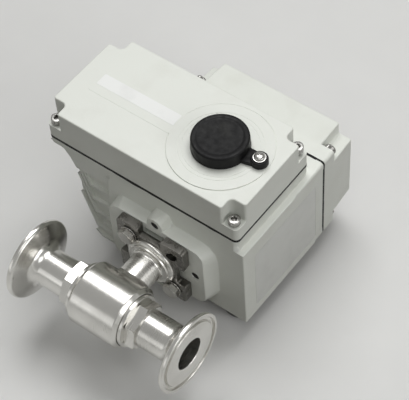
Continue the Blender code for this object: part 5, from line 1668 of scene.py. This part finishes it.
@dataclass
class InnerWorks:
    """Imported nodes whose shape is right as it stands: they only get their finish."""

    def finishes(self) -> dict[Finish, Iterable[str]]:
        """Choose the finish of each node that is carried over.

        Returns:
            The names of the nodes that have each finish.
        """
        return {
            MACHINE_STEEL: ("stem", "packing_gland", "output_shaft", "worm_shaft", "worm_gear", "motor_pinion",
                            "gear_plate", "worm_bearing_lower", "worm_bearing_upper", "motor",
                            "motor_capacitor", "switch_bracket"),
            BRONZE: ("worm_wheel", "front_bush", "rear_bush"),
            NYLON: ("idler_gear_1", "idler_gear_2", "cam_open"),
            PTFE: ("body_seal_left", "body_seal_right", "thrust_washer", "stem_packing"),
            BLACK_PLASTIC: ("cam_close", "limit_switch_1", "limit_switch_2", "terminal_block"),
            GASKET_RUBBER: ("shaft_seal",),
            CIRCUIT_BOARD: ("circuit_board",),
        }

    def build(self) -> None:
        """Give each node its finish."""
        for finish, names in self.finishes().items():
            for name in names:
                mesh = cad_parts[name].data
                mesh.materials.clear()
                mesh.materials.append(finish.material())
                log.info("%s: packed shape, finished in %s", name, finish.name)


@dataclass(frozen=True)
class Softbox:
    """Rectangular lamp aimed at the object."""

    name: str
    position: tuple[float, float, float]
    size: Point
    watts: float
    target: tuple[float, float, float] = (0.0, 0.05, 0.0)

    def build(self) -> None:
        """Hang the lamp."""
        lamp = bpy.data.lights.new(self.name, "AREA")
        lamp.shape, lamp.size, lamp.size_y, lamp.energy = "RECTANGLE", *self.size, self.watts
        item = bpy.data.objects.new(self.name, lamp)
        bpy.context.scene.collection.objects.link(item)
        item.visible_camera = False
        aim = (Vector(self.target) - Vector(self.position)).to_track_quat("-Z", "Y")
        item.matrix_world = Matrix.Translation(self.position) @ aim.to_matrix().to_4x4()


@dataclass
class Studio:
    """Pale floor and backdrop, soft lamps and the camera at the photograph's viewpoint."""

    floor_z: float = -0.0501
    floor_half: float = 4.0
    pale: Colour = (0.80, 0.80, 0.785)
    dim: Colour = (0.09, 0.083, 0.07)
    horizon: Colour = (0.11, 0.105, 0.09)
    ceiling: Colour = (0.17, 0.17, 0.165)
    shown_ceiling: Colour = (0.40, 0.40, 0.39)
    grain: Colour = (0.5, 0.5, 0.49)
    camera_at: tuple[float, float, float] = (0.3615, -0.3319, 0.7311)
    right: tuple[float, float, float] = (0.7975, 0.60131, -0.0493)
    up: tuple[float, float, float] = (-0.45608, 0.65434, 0.60318)
    lens: float = 137.3
    lamps: tuple[Softbox, ...] = (
        Softbox("overhead", (-0.165, 0.46, 1.15), (0.97, 0.66), 9.0),
        Softbox("front", (0.35, -0.25, 0.9), (0.5, 0.5), 1.3),
        Softbox("window", (-0.45, -1.15, 0.36), (0.6, 0.5), 0.45),
        Softbox("side", (1.3, 0.1, 0.5), (0.9, 0.6), 4.5),
    )

    @staticmethod
    def seen(tree: bpy.types.NodeTree) -> bpy.types.NodeSocket:
        """Add up the rays that show a surface: those of the camera, of gloss and of glass.

        Args:
            tree: Node tree of the floor or the world.

        Returns:
            1 for such a ray, 0 for one that only lights the object.
        """
        outputs = tree.nodes.new("ShaderNodeLightPath").outputs
        total = outputs["Is Camera Ray"]
        for name in ("Is Glossy Ray", "Is Transmission Ray"):
            step = tree.nodes.new("ShaderNodeMath")
            step.operation = "MAXIMUM"
            tree.links.new(total, step.inputs[0])
            tree.links.new(outputs[name], step.inputs[1])
            total = step.outputs["Value"]
        return total

    def floor(self) -> None:
        """Plain pale floor that bounces little light up at the object."""
        bm = bmesh.new()
        bmesh.ops.create_grid(bm, x_segments=1, y_segments=1, size=self.floor_half,
                              matrix=Matrix.Translation((0.0, 0.0, self.floor_z)))
        mesh = bpy.data.meshes.new("floor")
        bm.to_mesh(mesh)
        bm.free()
        item = bpy.data.objects.new("floor", mesh)
        bpy.context.scene.collection.objects.link(item)
        sheet = Sheet("floor", self.pale, 0.9)
        sheet.set("Specular IOR Level", 0.2)
        grain = sheet.blend(sheet.span(sheet.noise(30.0, 3.0), 0.0, 0.06), self.pale, self.grain)
        sheet.tint(sheet.blend(self.seen(sheet.material.node_tree), self.dim, grain))
        mesh.materials.append(sheet.material)

    def sky(self, tree: bpy.types.NodeTree, low: Colour, high: Colour) -> bpy.types.NodeSocket:
        """Ramp from a colour at the horizon to that of the ceiling.

        Args:
            tree: Node tree of the world.
            low: Colour at the horizon.
            high: Colour of the ceiling.

        Returns:
            The ramp's colour.
        """
        height = tree.nodes.new("ShaderNodeSeparateXYZ")
        tree.links.new(tree.nodes.new("ShaderNodeTexCoord").outputs["Generated"], height.inputs["Vector"])
        ramp = tree.nodes.new("ShaderNodeValToRGB")
        tree.links.new(height.outputs["Z"], ramp.inputs["Fac"])
        stops = ramp.color_ramp.elements
        stops[0].position, stops[0].color = 0.0, (*low, 1.0)
        stops[1].position, stops[1].color = 0.3, (*high, 1.0)
        return ramp.outputs["Color"]

    def world(self) -> None:
        """Backdrop: pale at the horizon where it is seen, with a dim ceiling above."""
        world = bpy.data.worlds.new("studio")
        bpy.context.scene.world = world
        world.use_nodes = True
        tree = world.node_tree
        mix = tree.nodes.new("ShaderNodeMix")
        mix.data_type = "RGBA"
        tree.links.new(self.seen(tree), mix.inputs[0])
        tree.links.new(self.sky(tree, self.horizon, self.ceiling), mix.inputs[6])
        tree.links.new(self.sky(tree, self.pale, self.shown_ceiling), mix.inputs[7])
        tree.links.new(mix.outputs[2], tree.nodes["Background"].inputs["Color"])

    def camera(self) -> None:
        """Camera at the photograph's viewpoint."""
        lens = bpy.data.cameras.new("camera")
        lens.lens, lens.sensor_width, lens.sensor_fit = self.lens, 36.0, "HORIZONTAL"
        lens.clip_start, lens.clip_end = 0.01, 20.0
        item = bpy.data.objects.new("camera", lens)
        bpy.context.scene.collection.objects.link(item)
        right, up = Vector(self.right).normalized(), Vector(self.up).normalized()
        turned = Matrix((right, up, right.cross(up))).transposed().to_4x4()
        item.matrix_world = Matrix.Translation(self.camera_at) @ turned
        bpy.context.scene.camera = item

    def build(self) -> None:
        """Set up the studio."""
        self.floor()
        self.world()
        self.camera()
        for lamp in self.lamps:
            lamp.build()
        bpy.context.scene.view_settings.view_transform = "Standard"


def screws(cover: GearCover, rear: RearCover) -> list[SocketScrew]:
    """The eight cover screws, each turned its own way.

    Args:
        cover: The gear cover that four of them hold.
        rear: The rear cover that the others hold.

    Returns:
        The screws.
    """
    made = []
    for number, (centre, rise) in enumerate(zip(cover.screw_places(), cover.screws_stand), start=1):
        made.append(SocketScrew(f"gear_cover_screw_{number}", Axis.Z, centre, cover.ledge + rise, cover.screw_tip,
                                17.0 * number))
    for number, centre in enumerate(rear.screw_places(), start=1):
        made.append(SocketScrew(f"rear_cover_screw_{number}", Axis.Y, centre, rear.base + rear.flange,
                                rear.screw_tip, 23.0 * number))
    return made


def main() -> None:
    """Build every sub-assembly in order."""
    logging.basicConfig(level=logging.INFO, format="%(name)s: %(message)s")
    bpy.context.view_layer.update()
    cover, rear = GearCover(), RearCover()
    parts = [
        EndCap("end_cap_left", -1, 60.0), EndCap("end_cap_right", 1, 20.0), ValveBody(), PadBolts(),
        BallAndSeats(), Housing(), cover, rear,
        Gasket("gear_cover_gasket", Axis.Z, cover.x, cover.y, 3.2, cover.gasket_low, cover.base - 0.05,
               cover.screw_places(), (-14.0, 18.0, 0.3), inset=-0.05),
        Gasket("rear_cover_gasket", Axis.Y, rear.x, rear.z, rear.corner, *rear.gasket, rear.screw_places()),
        *screws(cover, rear), OverrideCap(), CableGland(1, (40.0, 66.0)), CableGland(2, (40.0, 92.0)),
        InnerWorks(), Studio(),
    ]
    for part in parts:
        part.build()


if __name__ == "__main__":
    main()
